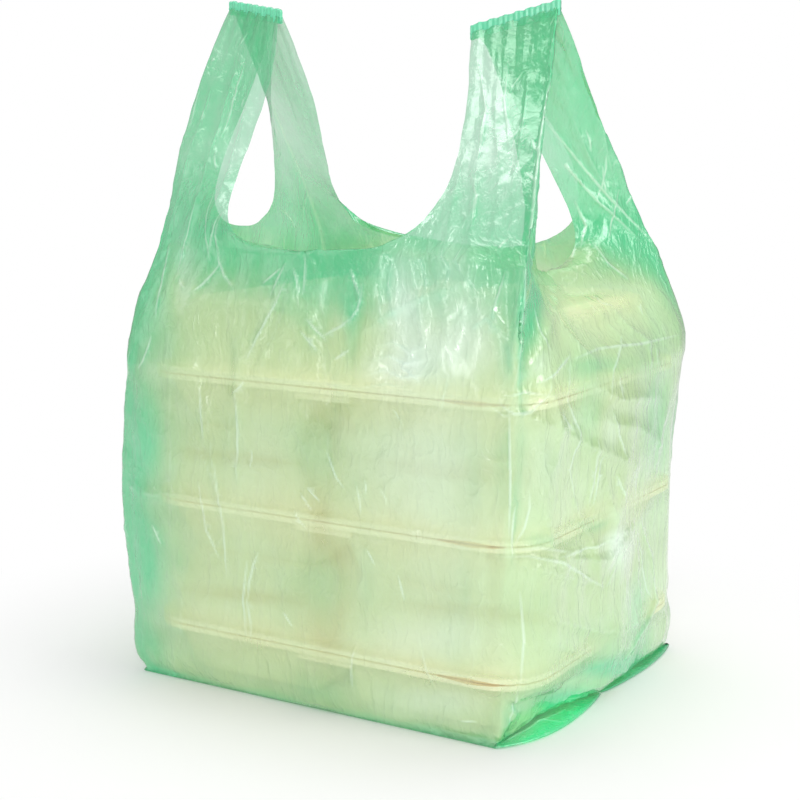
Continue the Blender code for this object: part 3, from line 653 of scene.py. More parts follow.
# Thin sharp wrinkles, in the same form
PHOTO_WRINKLES = [
    ([(287, 262), (270, 296)], 0.9, 2.4),
    ([(290, 276), (272, 312), (246, 362)], 1.1, 3.0),
    ([(282, 268), (262, 284)], 0.7, 2.0),
    ([(236, 384), (240, 430), (237, 482)], 1.0, 2.6),
    ([(215, 462), (222, 520), (226, 580)], 1.0, 2.6),
    ([(198, 480), (206, 530), (220, 560)], 0.7, 2.4),
    ([(246, 560), (242, 600), (246, 640)], 0.8, 2.4),
    ([(200, 384), (204, 440)], 0.6, 2.2),
    ([(152, 524), (162, 544)], 0.7, 2.0),
    ([(326, 450), (336, 478), (345, 490)], 0.9, 2.4),
    ([(306, 486), (320, 502)], 0.7, 2.2),
    ([(300, 492), (312, 512)], 0.7, 2.2),
    ([(322, 336), (342, 326), (352, 318)], 0.7, 2.2),
    ([(334, 360), (350, 350)], 0.7, 2.0),
    ([(300, 330), (318, 352)], 0.6, 2.0),
    ([(306, 318), (326, 342)], 0.6, 2.0),
    ([(376, 348), (392, 342), (410, 352), (426, 346)], 0.8, 2.4),
    ([(370, 362), (388, 356), (404, 364), (428, 360)], 0.8, 2.4),
    ([(366, 376), (384, 370), (402, 378), (430, 374)], 0.8, 2.4),
    ([(360, 388), (386, 384), (414, 390)], 0.7, 2.2),
    ([(384, 250), (392, 262), (388, 290), (398, 330)], 0.8, 2.4),
    ([(424, 240), (420, 262), (426, 282), (420, 312)], 0.8, 2.4),
    ([(448, 236), (442, 256), (450, 270), (444, 292)], 0.8, 2.4),
    ([(466, 244), (456, 260), (462, 276)], 0.7, 2.2),
    ([(505, 270), (496, 300), (490, 330)], 0.7, 2.2),
    ([(470, 330), (486, 318), (498, 330)], 0.7, 2.2),
    ([(560, 30), (548, 90), (540, 140), (534, 200), (527, 270), (520, 350), (512, 398)], 1.2, 3.0),
    ([(541, 130), (566, 165), (600, 205), (640, 240), (672, 275)], 1.1, 2.8),
    ([(546, 122), (576, 158), (612, 202), (652, 240)], 0.8, 2.4),
    ([(490, 554), (530, 556), (560, 562), (604, 588)], 1.2, 3.0),
    ([(494, 550), (540, 548), (572, 552)], 0.9, 2.6),
    ([(636, 525), (622, 556), (605, 588)], 1.1, 2.8),
    ([(556, 558), (596, 546), (636, 525)], 1.0, 2.8),
    ([(497, 402), (514, 414), (538, 410)], 0.9, 2.6),
    ([(500, 396), (524, 392), (548, 396)], 0.9, 2.6),
    ([(641, 520), (652, 556), (656, 600), (640, 634), (624, 661)], 1.1, 2.8),
    ([(590, 240), (606, 262), (632, 280)], 0.8, 2.4),
    ([(575, 200), (586, 226), (580, 250)], 0.8, 2.4),
    ([(200, 90), (190, 130), (176, 170)], 0.8, 2.4),
    ([(246, 60), (232, 110), (222, 140)], 0.8, 2.4),
    ([(196, 200), (186, 240), (176, 280)], 0.9, 2.6),
    ([(214, 190), (206, 230), (212, 262)], 0.8, 2.4),
    ([(170, 240), (162, 280), (156, 320)], 0.8, 2.4),
    ([(226, 210), (216, 236), (222, 258)], 0.7, 2.2),
    ([(478, 60), (486, 110), (480, 160)], 0.8, 2.4),
    ([(508, 60), (504, 100), (510, 150)], 0.8, 2.4),
    ([(470, 170), (478, 200), (472, 230)], 0.8, 2.4),
    ([(460, 720), (478, 722)], 0.8, 2.4),
    ([(526, 728), (545, 720), (563, 722)], 0.9, 2.4),
    ([(524, 738), (530, 720), (540, 706)], 0.9, 2.4),
    ([(560, 700), (586, 694), (602, 701)], 0.9, 2.4),
    ([(520, 590), (524, 640), (520, 690)], 0.7, 2.4),
    ([(500, 744), (530, 728), (568, 708), (598, 702)], 1.2, 3.0),
    ([(572, 360), (600, 348), (640, 344), (679, 335)], 1.1, 2.8),
    ([(622, 335), (614, 370), (608, 404)], 0.8, 2.4),
    ([(610, 406), (616, 430), (625, 458)], 1.2, 3.0),
    ([(596, 438), (594, 470), (588, 504)], 1.0, 2.8),
    ([(602, 452), (596, 480), (592, 506)], 0.8, 2.4),
    ([(616, 474), (622, 490), (626, 504)], 1.0, 2.6),
    ([(568, 350), (567, 400), (580, 432), (570, 470), (576, 508)], 0.8, 2.4),
    ([(536, 384), (552, 376), (570, 354)], 1.0, 2.6),
    ([(486, 404), (504, 416), (530, 412), (548, 396), (552, 380)], 1.1, 2.8),
    ([(590, 296), (602, 304), (614, 306)], 0.9, 2.4),
    ([(509, 400), (510, 470), (509, 540)], 0.6, 2.2),
    ([(636, 522), (642, 550), (648, 590), (654, 600)], 0.9, 2.6),
    ([(506, 746), (544, 738), (580, 722)], 0.9, 2.6),
    ([(610, 690), (634, 676), (660, 664)], 0.9, 2.6),
    ([(566, 696), (580, 706), (584, 718)], 0.8, 2.4),
]

# Crumpled places given a painted sheen for the light they scatter, and deeper green ones with a minus as
# painted shade: pixel, half width, half height and amount
SHEEN_AND_SHADE_PATCHES = [
    (404, 306, 22, 62, 0.55),
    (394, 372, 34, 20, 0.50),
    (452, 262, 22, 46, 0.32),
    (470, 320, 30, 34, 0.22),
    (396, 470, 46, 60, 0.18),
    (262, 470, 30, 60, 0.14),
    (500, 120, 16, 70, 0.12),
    (540, 364, 12, 14, 0.35),
    (618, 546, 13, 24, 0.80),
    (540, 470, 20, 40, 0.20),
    (610, 366, 44, 9, -0.26),
    (588, 396, 18, 36, -0.30),
    (658, 420, 16, 76, -0.36),
    (546, 541, 26, 7, -0.42),
    (592, 526, 28, 7, -0.42),
    (640, 620, 12, 46, -0.45),
    (590, 668, 36, 9, -0.45),
    (610, 430, 8, 26, 0.30),
    (430, 640, 60, 22, 0.35),
    (184, 270, 12, 50, 0.26),
    (440, 470, 56, 160, 0.30),
    (352, 304, 10, 60, -0.50),
    (532, 320, 12, 46, -0.35),
    (566, 704, 50, 20, -1.00),
    (640, 668, 36, 12, -0.80),
    (126, 480, 27, 170, -0.50),
    (160, 320, 22, 60, -0.25),
    (158, 560, 18, 110, -0.22),
    (452, 346, 52, 34, 0.40),
    (440, 700, 50, 16, 0.38),
    (606, 648, 44, 30, -0.22),
]
# How much the front rims fall in the picture, in pixels for each pixel to the right
RIM_SLOPE = 0.10
# Places where a painted shade makes a gap between the foam cells show darker and more tan, in the same terms
GAP_SHADE_PATCHES = [
    (320, 448, 15, 32, 0.75),
    (326, 600, 17, 54, 0.90),
    (320, 520, 11, 30, 0.40),
    (446, 469, 56, 7, 0.80),
    (240, 458, 56, 6, 0.50),
    (470, 612, 54, 7, 0.65),
    (250, 596, 60, 7, 0.50),
]


def crease_path(tree, pixels):
    """Where the crest of a photographed crease lies on the film, and which way the film faces there."""
    path = []
    for u, v in pixels:
        place, facing, _, _ = tree.ray_cast(CAMERA_PLACE, photo_ray(u, v))
        if place is not None:
            path.append((place, facing))
    return path


def scattered_creases(tree, verts, rng):
    """Broad folds and fine wrinkles over the whole film, mostly upright: path, height and width."""
    paths = []
    for i in range(SCATTERED_FOLDS + SCATTERED_WRINKLES):
        fine = i >= SCATTERED_FOLDS
        start = rng.choice(verts)
        length = rng.uniform(0.008, 0.030) if fine else rng.uniform(0.030, 0.080)
        lean = rng.gauss(0.0, 0.55)
        bow = rng.uniform(-0.12, 0.12) * length
        side = start.normal.cross(Vector((0.0, 0.0, 1.0)))
        hidden = side.length < 0.5 or start.co.z < BODY_START * 3
        if hidden:
            continue
        side.normalize()
        along = Vector((0.0, 0.0, 1.0)) * math.cos(lean) + side * math.sin(lean)
        across = along.cross(start.normal)
        path = []
        for share in (-0.5, -0.17, 0.17, 0.5):
            guess = start.co + along * length * share + across * bow * (1.0 - 4.0 * share * share)
            place, facing, _, _ = tree.find_nearest(guess)
            path.append((place, facing))
        if fine:
            paths.append((path, rng.uniform(0.3, 0.9), rng.uniform(2.0, 2.6)))
        else:
            paths.append((path, rng.uniform(1.0, 2.2), rng.uniform(5.0, 9.0)))
    return paths


def path_distance(points, path):
    """Distance of points from a path, the share of the path walked there, and the side they lie on."""
    total = sum((b[0] - a[0]).length for a, b in zip(path, path[1:]))
    best = np.full(len(points), 1.0)
    shares = np.zeros(len(points))
    sides = np.zeros(len(points))
    facings = np.zeros((len(points), 3))
    walked = 0.0
    for (a, na), (b, nb) in zip(path, path[1:]):
        run = np.array(b - a)
        step = max((b - a).length, 1e-6)
        rel = points - np.array(a)
        t = np.clip((rel * run).sum(axis=1) / (step * step), 0.0, 1.0)
        off = rel - t[:, None] * run
        facing = np.array((na + nb).normalized())
        proud = (off * facing).sum(axis=1)
        off = off - (proud * OFFSET_IGNORED)[:, None] * facing
        distance = np.sqrt((off * off).sum(axis=1))
        across = np.cross(facing, run / step)
        nearer = distance < best
        best = np.where(nearer, distance, best)
        shares = np.where(nearer, (walked + t * step) / total, shares)
        sides = np.where(nearer, (off * across).sum(axis=1), sides)
        facings = np.where(nearer[:, None], facing, facings)
        walked += step
    return best, shares, sides, facings


def near_path(points, path, reach):
    """Numbers of the points in the box around a path."""
    crest = np.array([tuple(place) for place, facing in path])
    inside = np.all((points > crest.min(axis=0) - reach) & (points < crest.max(axis=0) + reach), axis=1)
    return np.nonzero(inside)[0]


def refine_along(bm, paths, reach):
    """Divides the film's faces close to the paths."""
    bm.edges.ensure_lookup_table()
    middles = np.array([tuple((edge.verts[0].co + edge.verts[1].co) / 2) for edge in bm.edges])
    chosen = np.zeros(len(middles), dtype=bool)
    for path, _, _ in paths:
        near = near_path(middles, path, reach)
        if len(near):
            chosen[near] |= path_distance(middles[near], path)[0] < reach
    edges = [bm.edges[int(i)] for i in np.nonzero(chosen)[0]]
    bmesh.ops.subdivide_edges(bm, edges=edges, cuts=1, use_grid_fill=True)


def add_creases(film, paths):
    """Raises a sharp crest with one steep and one soft flank along each path, and paints a highlight on it.
    """
    mesh = film.data
    count = len(mesh.vertices)
    places, normals = film_arrays(mesh)
    lift = np.zeros(count)
    crest = np.zeros(count)
    for path, height, width in paths:
        wide = width / 1000.0
        near = near_path(places, path, max(wide, LEAST_REACH))
        if not len(near):
            continue
        distance, shares, sides, facings = path_distance(places[near], path)
        reach = np.where(sides > 0.0, wide, wide * STEEP_FLANK)
        crown = np.clip(1.0 - distance / reach, 0.0, 1.0) ** CREST_SHARPNESS
        fade = np.sin(math.pi * shares).clip(0.0, 1.0) ** 0.6
        alike = (normals[near] * facings).sum(axis=1) > 0.3
        lift[near] += crown * fade * alike * height / 1000.0 * CREASE_SHARE
        # Painted highlight: a pale line along each crest, weaker on broad creases
        line = np.clip(1.0 - distance / CREST_HIGHLIGHT_WIDTH, 0.0, 1.0)
        strong = 1.0 if width <= FINE_WIDTH else BROAD_CREST_HIGHLIGHT
        crest[near] = np.maximum(crest[near], line * fade * alike * strong * CREST_HIGHLIGHT_STRENGTH)
    places += normals * lift[:, None]
    mesh.vertices.foreach_set("co", places.ravel())
    mesh.update()
    store_mark(film, "crest", crest)


def store_mark(film, name, values):
    marks = film.data.attributes.new(name, "FLOAT", "POINT")
    marks.data.foreach_set("value", np.asarray(values, dtype=np.float32))


def crinkle(point, scale, stretch):
    """Ridged noise, from -1 to 1, whose ridges run along z by the stretch."""
    here = Vector((point.x * scale, point.y * scale, point.z * scale / stretch))
    return 1.0 - 4.0 * abs(noise.noise(here))


def film_arrays(mesh):
    """Places and normals of a mesh's vertices as arrays."""
    places = np.empty(len(mesh.vertices) * 3)
    mesh.vertices.foreach_get("co", places)
    normals = np.array([tuple(vert.normal) for vert in mesh.vertices])
    return places.reshape(-1, 3), normals


def read_film(mesh):
    """Places and normals of a mesh's vertices, read at once because a moved vertex resets them."""
    places = [vert.co.copy() for vert in mesh.vertices]
    normals = [vert.normal.copy() for vert in mesh.vertices]
    return places, normals


def write_film(mesh, places):
    mesh.vertices.foreach_set("co", [value for place in places for value in place])
    mesh.update()


def box_tree():
    """All the boxes as one tree for rays."""
    graph = bpy.context.evaluated_depsgraph_get()
    verts = []
    faces = []
    for name in BOX_NODES:
        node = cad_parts[name].evaluated_get(graph)
        start = len(verts)
        verts += [node.matrix_world @ vert.co for vert in node.data.vertices]
        faces += [[start + i for i in face.vertices] for face in node.data.polygons]
    return BVHTree.FromPolygons(verts, faces)


def add_crinkles(film, boxes):
    """Fine slack of the film between its creases, least where the rims and the welds hold it."""
    places, normals = read_film(film.data)
    seam_top = STACK_TOP + min(HANDLE_RISE.values())
    moved = []
    for p, normal in zip(places, normals):
        if p.z < BODY_START * 1.5:
            moved.append(p)
            continue
        held = min(1.0, max(SLACK_AT_WELD, (seam_top - p.z) / SLACK_BELOW_WELD))
        off_box = boxes.find_nearest(p)[3] - SLACK_CLEARANCE
        held *= min(1.0, max(SLACK_ON_BOX, off_box / SLACK_WITHIN))
        patch = 0.6 + 0.8 * max(0.0, noise.noise(p * SLACK_PATCHES + Vector((5.0, 5.0, 5.0))))
        coarse, medium, fine = (crinkle(p + Vector(shift), scale, stretch) * height
                                for shift, scale, stretch, height in SLACK_LAYERS)
        moved.append(p + normal * (coarse + medium * patch + fine * patch) * held)
    write_film(film.data, moved)


def keep_off_boxes(film):
    """No crease cuts into a box: the film lies on the rims and the lid."""
    places, _ = read_film(film.data)
    moved = []
    for p in places:
        if RIMS_START < p.z < WALLS_END:
            flat = clear_of_boxes(Vector((abs(p.x), abs(p.y))), p.z)
            p = Vector((math.copysign(flat.x, p.x), math.copysign(flat.y, p.y), p.z))
        elif p.z > WALLS_END:
            p = clear_of_lid(p)
        moved.append(p)
    write_film(film.data, moved)


def staged(stages, value):
    """Straight steps between (place, result) pairs."""
    return float(np.interp(value, [place for place, _ in stages], [result for _, result in stages]))


def glow_directions():
    """Directions spread evenly over a cap around +z."""
    turns = math.pi * (3.0 - math.sqrt(5.0))
    directions = []
    for i in range(GLOW_RAYS):
        out = GLOW_SPREAD * math.sqrt((i + 0.5) / GLOW_RAYS)
        flat = Vector((math.cos(i * turns), math.sin(i * turns), 0.0)) * math.sin(out)
        directions.append(flat + Vector((0.0, 0.0, math.cos(out))))
    return directions


def spread_over_neighbours(mesh, values, passes):
    """Evens out a mark over the film."""
    ends = np.empty(len(mesh.edges) * 2, dtype=np.int64)
    mesh.edges.foreach_get("vertices", ends)
    ends = ends.reshape(-1, 2)
    count = np.bincount(ends.ravel(), minlength=len(values))
    for _ in range(passes):
        total = np.bincount(ends[:, 0], weights=values[ends[:, 1]], minlength=len(values))
        total += np.bincount(ends[:, 1], weights=values[ends[:, 0]], minlength=len(values))
        values = 0.5 * values + 0.5 * total / np.maximum(count, 1)
    return values


def picture_place(points):
    """Where points of the frame appear in the photograph, in pixels."""
    right, up, ahead = (np.array(axis) for axis in camera_axes())
    off = points - np.array(CAMERA_PLACE)
    depth = off @ ahead
    middle = PICTURE_PX / 2
    return middle + CAMERA_FOCAL_PX * (off @ right) / depth, middle - CAMERA_FOCAL_PX * (off @ up) / depth


def mark_veil(film, boxes):
    """Stores how much each place of the film hides, and how far the foam behind it lights it up.

    Milky film shows what it touches and blurs what lies behind it, so it hides more a little way
    off the boxes, and takes on their light there. Well away from them it only tints the light.
    """
    directions = glow_directions()
    places, normals = film_arrays(film.data)
    veils = np.empty(len(places))
    glows = np.empty(len(places))
    foam = np.empty(len(places))
    for i, vert in enumerate(film.data.vertices):
        turn = (-vert.normal).to_track_quat("Z", "Y")
        start = vert.co - vert.normal * RAY_OFFSET
        nearest = boxes.find_nearest(vert.co)[3]
        light = 0.0
        hits = 0.0
        longest = GLOW_LONGEST if vert.co.z < WALLS_END else GLOW_LONGEST_ABOVE
        for direction in directions:
            _, _, _, distance = boxes.ray_cast(start, turn @ direction, longest)
            if distance is not None:
                hits += 1.0 - distance / longest * FAR_FOAM_LOSS
                light += math.exp(-max(0.0, distance - GLOW_START) / GLOW_REACH)
        glows[i] = min(1.0, light / max(1.0, hits))
        foam[i] = hits / GLOW_RAYS * staged(GLOW_BY_SIDE, vert.normal.x)
        if vert.co.z < BODY_START:
            foam[i] = 0.0
        veils[i] = staged(VEIL_STAGES, nearest) + staged(VEIL_BY_SIDE, vert.normal.x)
    glows = spread_over_neighbours(film.data, glows, GLOW_PASSES)
    foam = spread_over_neighbours(film.data, foam, GLOW_PASSES)
    veils = spread_over_neighbours(film.data, veils, VEIL_PASSES)
    pale = np.zeros(len(places))
    across, down = picture_place(places)
    towards = ((np.array(CAMERA_PLACE) - places) * normals).sum(axis=1) > 0.0
    gap_shade = np.zeros(len(places))
    for mark, patches, slope in ((pale, SHEEN_AND_SHADE_PATCHES, 0.0), (gap_shade, GAP_SHADE_PATCHES, RIM_SLOPE)):
        for u, v, wide, high, amount in patches:
            off = ((across - u) / wide) ** 2 + ((down - v - slope * (across - u)) / high) ** 2
            mark += amount * np.exp(-off) * towards
    store_mark(film, "veil", np.clip(veils + PATCH_VEIL * np.abs(pale), *VEIL_LIMITS))
    # Painted shade: the patches with a minus make the film greener
    store_mark(film, "foam_share", np.clip(foam * SHARE_GAIN + np.minimum(pale, 0.0), 0.0, 1.0))
    # Painted shade: little foam glow gives the film the gap colour, most at the gap patches
    store_mark(film, "foam_glow", np.clip((glows - gap_shade) * GLOW_GAIN, 0.0, 1.0))
    # The painted sheen of the patches
    store_mark(film, "pale", np.maximum(pale, 0.0))
    # Where the painted glow through the folded pocket is stronger
    low = np.clip((EAR_TOP - places[:, 2]) / EAR_TOP, 0.0, 1.0)
    raised = np.array([ear_lift(vert.co) for vert in film.data.vertices]) / EAR_LIFT
    store_mark(film, "folded", np.clip(2.0 * low * raised, 0.0, 1.0))


def build_film():
    bm = smooth_film()
    bm.normal_update()
    tree = BVHTree.FromBMesh(bm)
    creases = [(crease_path(tree, pixels), *size) for pixels, *size in PHOTO_CREASES + PHOTO_WRINKLES]
    creases += scattered_creases(tree, list(bm.verts), random.Random(SCATTER_SEED))
    creases = [crease for crease in creases if len(crease[0]) > 1]
    broad = [crease for crease in creases if crease[2] > FINE_WIDTH]
    fine = [crease for crease in creases if crease[2] <= FINE_WIDTH]
    for paths, reach in ((broad + fine, REFINED_AROUND), (fine, REFINED_TWICE_AROUND)):
        refine_along(bm, paths, reach)
    film = make_object("bag_film", bm)
    boxes = box_tree()
    add_crinkles(film, boxes)
    add_creases(film, broad + fine)
    keep_off_boxes(film)
    mark_veil(film, boxes)
    return film


def build_handle_weld(side):
    """The melted strip across a handle, with its fine gathers."""
    outer, inner = seam_ends(side)
    normal = seam_normal(side)
    margin = (outer - inner).normalized() * SEAM_THICKNESS / 4
    outer = outer + margin
    inner = inner - margin
    rng = random.Random(WELD_SEED[side])
    phase = [rng.uniform(0.0, 2 * math.pi) for _ in range(3)]
    bm = bmesh.new()
    rings = []
    for i in range(WELD_STEPS + 1):
        along = i / WELD_STEPS
        foot = outer.lerp(inner, along)
        wave = math.sin(2 * math.pi * WELD_GATHERS * along + phase[0])
        wave += 0.6 * math.sin(2 * math.pi * WELD_GATHERS * 0.53 * along + phase[1])
        top = WELD_TOP_WAVE * math.sin(2 * math.pi * 7 * along + phase[2])
        ring = []
        for height, thick, swing in WELD_SECTION:
            rise = height * SEAM_HEIGHT + (top if height > 0.5 else 0.0)
            centre = foot + Vector((0.0, 0.0, rise)) + normal * wave * WELD_WAVE * swing
            ring.append((centre, normal * SEAM_THICKNESS / 2 * thick))
        loop = [bm.verts.new(c - n) for c, n in ring] + [bm.verts.new(c + n) for c, n in reversed(ring)]
        rings.append(loop)
    for one, two in zip(rings, rings[1:]):
        for i in range(len(one)):
            j = (i + 1) % len(one)
            bm.faces.new((one[i], one[j], two[j], two[i]))
    bm.faces.new(list(reversed(rings[0])))
    bm.faces.new(rings[-1])
    bmesh.ops.recalc_face_normals(bm, faces=bm.faces)
    return make_object(side + "_handle_weld", bm)


# Materials


class Net:
    """The nodes of a material or a group, with short ways to add and link them."""

    def __init__(self, tree):
        self.nodes = tree.nodes
        self.links = tree.links
        self.shader = tree.nodes.get("Principled BSDF")

    def feed(self, socket, value):
        """Gives a socket a plain value, or links another one to it."""
        if isinstance(value, (float, tuple)):
            socket.default_value = value
        else:
            self.links.new(value, socket)

    def add(self, kind, *inputs, **settings):
        """A new node with its own settings, whose first inputs are fed in their order."""
        node = self.nodes.new("ShaderNode" + kind)
        for name, value in settings.items():
            setattr(node, name, value)
        for socket, value in zip(node.inputs, inputs):
            self.feed(socket, value)
        return node

    def add_by_name(self, kind, inputs):
        """A new node whose inputs are fed by name."""
        node = self.add(kind)
        for title, value in inputs.items():
            self.feed(node.inputs[title], value)
        return node

    def math(self, operation, *inputs, **settings):
        return self.add("Math", *inputs, operation=operation, **settings).outputs[0]

    def vector(self, operation, *inputs):
        return self.add("VectorMath", *inputs, operation=operation)

    def span(self, value, start, end, low, high, **settings):
        """A value carried over from one span to another."""
        return self.add("MapRange", value, start, end, low, high, **settings).outputs["Result"]

    def blend(self, first, second, factor):
        """A colour between two others."""
        mixed = self.add("Mix", data_type="RGBA")
        self.feed(mixed.inputs["A"], first)
        self.feed(mixed.inputs["B"], second)
        self.links.new(factor, mixed.inputs["Factor"])
        return mixed.outputs["Result"]

    def noise(self, place, scale, detail):
        return self.add_by_name("TexNoise", {"Vector": place, "Scale": scale, "Detail": detail})

    def group(self, tree, **values):
        """The first output of a node group."""
        node = self.add("Group", node_tree=tree)
        for title, value in values.items():
            node.inputs[title].default_value = value
        return node.outputs[0]

    def relief(self, height, strength, distance):
        """Tilts the shader's surface by a height."""
        tilt = self.add_by_name("Bump", {"Height": height, "Strength": strength, "Distance": distance})
        self.links.new(tilt.outputs["Normal"], self.shader.inputs["Normal"])

    def seen_directly(self):
        """1 for what the camera sees, also through something clear."""
        light = self.add("LightPath").outputs
        return self.math("MAXIMUM", light["Is Camera Ray"], light["Is Transmission Ray"])


def new_group(name, inputs, output):
    """A shader node group with float inputs and one float output, and what its nodes link to."""
    group = bpy.data.node_groups.new(name, "ShaderNodeTree")
    for title, value in inputs.items():
        socket = group.interface.new_socket(title, in_out="INPUT", socket_type="NodeSocketFloat")
        socket.default_value = value
    group.interface.new_socket(output, in_out="OUTPUT", socket_type="NodeSocketFloat")
    given = group.nodes.new("NodeGroupInput").outputs
    result = group.nodes.new("NodeGroupOutput").inputs[output]
    return group, Net(group), given, result


def crinkle_group():
    """Creased-film relief: thin ridges that run mostly upright, over finer ones that run anywhere."""
    group, net, given, result = new_group("film_crinkle", {"Streaks": 0.5, "Cells": 0.5}, "Height")
    place = net.add("TexCoord").outputs["Object"]
    bend = net.noise(place, RIDGE_BEND_SCALE, 2.0).outputs["Color"]
    warped = net.vector("MULTIPLY_ADD", bend, RIDGE_BEND, place).outputs[0]
    total = 0.0
    for title, weight, scale in RIDGE_LAYERS:
        stretched = net.vector("MULTIPLY", warped, scale).outputs[0]
        ridges = net.noise(stretched, 1.0, 2.5).outputs["Fac"]
        off = net.math("ABSOLUTE", net.math("SUBTRACT", ridges, 0.5))
        crest = net.math("POWER", net.span(off, RIDGE_HALF_WIDTH, 0.0, 0.0, 1.0), RIDGE_SHARPNESS)
        total = net.math("MULTIPLY_ADD", net.math("MULTIPLY", crest, given[title]), weight, total)
    net.links.new(total, result)
    return group


def cloud_group():
    """Slow variation over a surface, from Low to High."""
    group, net, given, result = new_group("cloudiness", {"Size": 12.0, "Low": 0.4, "High": 0.6}, "Value")
    cloud = net.noise(net.add("TexCoord").outputs["Object"], given["Size"], 4.0).outputs["Fac"]
    net.links.new(net.span(cloud, *CLOUD_SPAN, given["Low"], given["High"]), result)
    return group


def principled(name, finish):
    """A material, its nodes and its shader's inputs, with the finish's plain values on them."""
    material = bpy.data.materials.new(name)
    material.use_nodes = True
    net = Net(material.node_tree)
    for title, value in finish.items():
        net.shader.inputs[title].default_value = value
    return material, net, net.shader.inputs


def green_film(crinkles, clouds):
    """One layer of milky film: a thin veil where it lies on the boxes, a thicker one away from them.

    Most light passes on through the film, so a shadow ray meets less of it than the eye does.
    """
    material, net, shader = principled("green_film", {
        "Roughness": 0.20, "IOR": 1.6, "Specular IOR Level": 1.0, "Coat Weight": 1.0,
        "Coat Roughness": 0.15, "Coat IOR": 1.8, "Emission Strength": 0.40,
    })
    titles = ("veil", "foam_glow", "foam_share", "pale", "crest", "folded")
    marks = {title: net.add("Attribute", attribute_name=title).outputs["Fac"] for title in titles}
    ridges = net.group(crinkles, Streaks=1.0, Cells=1.0)
    # Painted shade in the gaps between the boxes, where the foam's light falls off
    glow = net.blend(FILM_OVER_SHADED_GAP, FILM_OVER_FOAM, marks["foam_glow"])
    behind = net.blend(FILM_COLOUR, glow, marks["foam_share"])
    # Painted sheen along the ridges and on the patches, and the crests' painted highlight, whiten the film
    scatter = net.math("MULTIPLY_ADD", ridges, RIDGE_PAINTED_SHEEN, marks["pale"])
    painted_sheen = net.math("MAXIMUM", scatter, marks["crest"])
    net.links.new(net.blend(behind, CREST_HIGHLIGHT_COLOUR, painted_sheen), shader["Base Color"])
    # Painted glow: the film's emission stands in for light passing through it
    through = net.blend(LIGHT_THROUGH, LIGHT_THROUGH_FOLDS, marks["folded"])
    net.links.new(through, shader["Emission Color"])
    misty = net.math("MULTIPLY", marks["veil"], net.group(clouds, Size=26.0, Low=0.90, High=1.10))
    # The film hides more along the crests, so their painted highlight shows
    thick = net.math("MULTIPLY_ADD", marks["crest"], CREST_HIGHLIGHT_VEIL, misty, use_clamp=True)
    shadow_ray = net.add("LightPath").outputs["Is Shadow Ray"]
    passed = net.span(shadow_ray, 0.0, 1.0, 1.0, VEIL_FOR_SHADOWS)
    net.links.new(net.math("MULTIPLY", thick, passed), shader["Alpha"])
    net.relief(ridges, 0.55, 0.0015)
    return material


def melted_film(crinkles, clouds):
    """The welds, where several layers have run together."""
    material, net, shader = principled("melted_film", {
        "Base Color": WELD_COLOUR, "Roughness": 0.26, "Coat Weight": 0.6, "Coat Roughness": 0.12,
    })
    net.links.new(net.group(clouds, Size=60.0, Low=0.72, High=0.92), shader["Alpha"])
    net.relief(net.group(crinkles, Streaks=0.4, Cells=1.0), 0.4, 0.0006)
    return material


def cream_foam(clouds):
    """Moulded foam that lets some light through, as a painted glow, with painted shade where lid meets tray.
    """
    material, net, shader = principled("cream_foam", {"Roughness": 0.5, "Emission Strength": 0.16})
    tint = net.blend(FOAM_WARM, FOAM_PALE, net.group(clouds, Size=20.0, Low=0.0, High=1.0))
    place = net.add("TexCoord").outputs["Object"]
    x, y, z = net.add("SeparateXYZ", place).outputs
    away = net.math("ABSOLUTE", net.math("SUBTRACT", x, SLIT_MIDDLE))
    slit = net.span(away, 0.0, SLIT_HALF_LENGTH, SLIT_HALF_HEIGHT, 0.0)
    front = net.math("LESS_THAN", y, SLIT_DEPTH - HALF_DEPTH)
    reach = net.math("MULTIPLY_ADD", slit, front, PARTING_SHADE_HALF_HEIGHT)
    parting_shade = 0.0
    for i in range(len(BOX_NODES)):
        level = STACK_FLOOR + i * BOX_PITCH + TRAY_SHARE * BOX_HEIGHT
        parting_shade = net.math("MAXIMUM", parting_shade, net.math("COMPARE", z, level, reach))
    # Painted shade in the gap between lid and tray, which glows like the rest of the foam
    net.links.new(net.blend(tint, PARTING_SHADE_COLOUR, parting_shade), shader["Base Color"])
    net.links.new(net.blend(FOAM_GLOW, PARTING_SHADE_COLOUR, parting_shade), shader["Emission Color"])
    net.relief(net.noise(place, FOAM_GRAIN, 2.0).outputs["Fac"], 0.12, 0.0004)
    return material


# Room


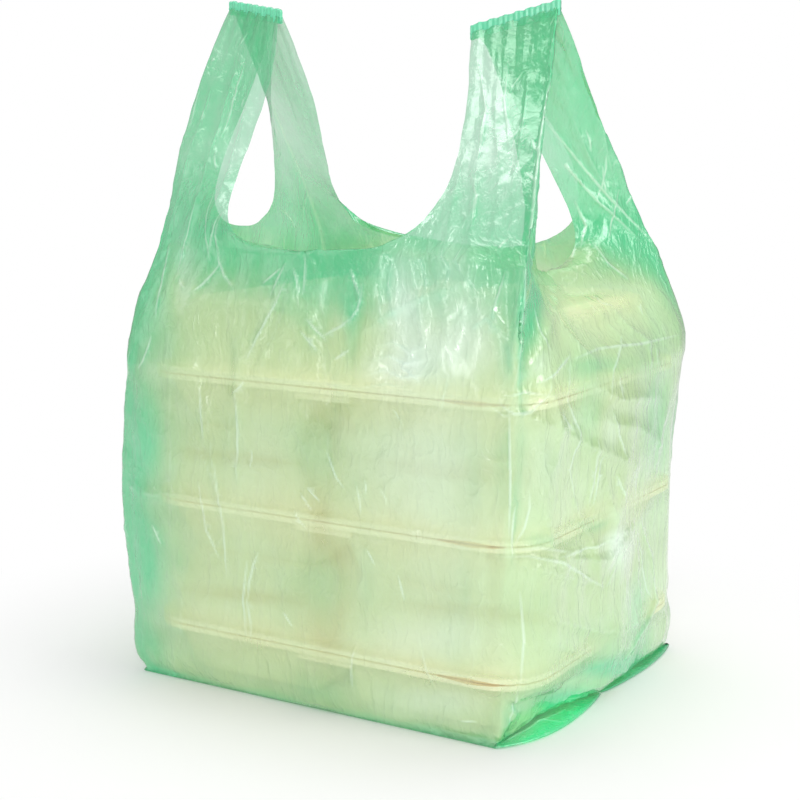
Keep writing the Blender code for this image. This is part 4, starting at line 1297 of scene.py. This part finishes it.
def white_floor():
    """A pale floor that keeps the object's shadow and runs out into a white backdrop."""
    bm = bmesh.new()
    bmesh.ops.create_circle(bm, cap_ends=True, segments=64, radius=FLOOR_RADIUS)
    floor = make_object("floor", bm)
    material, net, _ = principled("white_floor", {
        "Base Color": (0.97, 0.97, 0.97, 1.0), "Roughness": 0.9, "Specular IOR Level": 0.0,
    })
    away = net.vector("LENGTH", net.add("TexCoord").outputs["Object"]).outputs["Value"]
    share = net.span(away, *SHADOW_FADE, 0.0, 1.0, interpolation_type="SMOOTHSTEP")
    amount = net.math("MULTIPLY", share, net.seen_directly())
    white = net.add("Emission").outputs["Emission"]
    mixed = net.add("MixShader", amount, net.shader.outputs["BSDF"], white)
    net.links.new(mixed.outputs["Shader"], net.nodes["Material Output"].inputs["Surface"])
    floor.data.materials.append(material)


def white_world():
    """White to look at, and a little dimmer as a light."""
    world = bpy.data.worlds.new("studio")
    bpy.context.scene.world = world
    world.use_nodes = True
    net = Net(world.node_tree)
    back = net.nodes["Background"].inputs
    back["Color"].default_value = (1.0, 1.0, 1.0, 1.0)
    net.links.new(net.span(net.seen_directly(), 0.0, 1.0, WORLD_LIGHT, 1.0), back["Strength"])


def soft_lamp(name, place, target, size, power):
    data = bpy.data.lights.new(name, "AREA")
    data.shape = "RECTANGLE"
    data.size, data.size_y = size
    data.energy = power
    lamp = bpy.data.objects.new(name, data)
    lamp.location = place
    lamp.rotation_euler = (Vector(target) - Vector(place)).to_track_quat("-Z", "Y").to_euler()
    bpy.context.collection.objects.link(lamp)
    return lamp


def main():
    bpy.context.scene.view_settings.view_transform = "Standard"
    place_camera()
    crinkles = crinkle_group()
    clouds = cloud_group()
    film_finish = green_film(crinkles, clouds)
    weld_finish = melted_film(crinkles, clouds)
    foam_finish = cream_foam(clouds)

    film = build_film()
    film.data.materials.append(film_finish)
    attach(film, "root")
    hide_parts("carrier_bag")
    for side in ("right", "left"):
        weld = build_handle_weld(side)
        weld.data.materials.append(weld_finish)
        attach(weld, "root")
    for name in BOX_NODES:
        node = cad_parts[name]
        node.material_slots[0].material = foam_finish

    white_floor()
    white_world()
    middle = (0.0, 0.0, 0.16)
    soft_lamp("front_softbox", (0.9, -1.7, 1.0), middle, (0.9, 0.9), 14.5)
    soft_lamp("left_softbox", (-1.3, -0.9, 0.9), middle, (0.5, 1.2), 1.2)
    soft_lamp("right_softbox", (1.5, 0.1, 0.8), middle, (0.5, 1.4), 7.5)
    soft_lamp("top_softbox", (-0.1, 0.3, 1.6), middle, (1.4, 1.0), 10.5)
    for name, place, size, power in GLINT_STRIPS:
        strip = soft_lamp(name, place, middle, size, power)
        strip.visible_diffuse = False
        strip.visible_transmission = False


main()
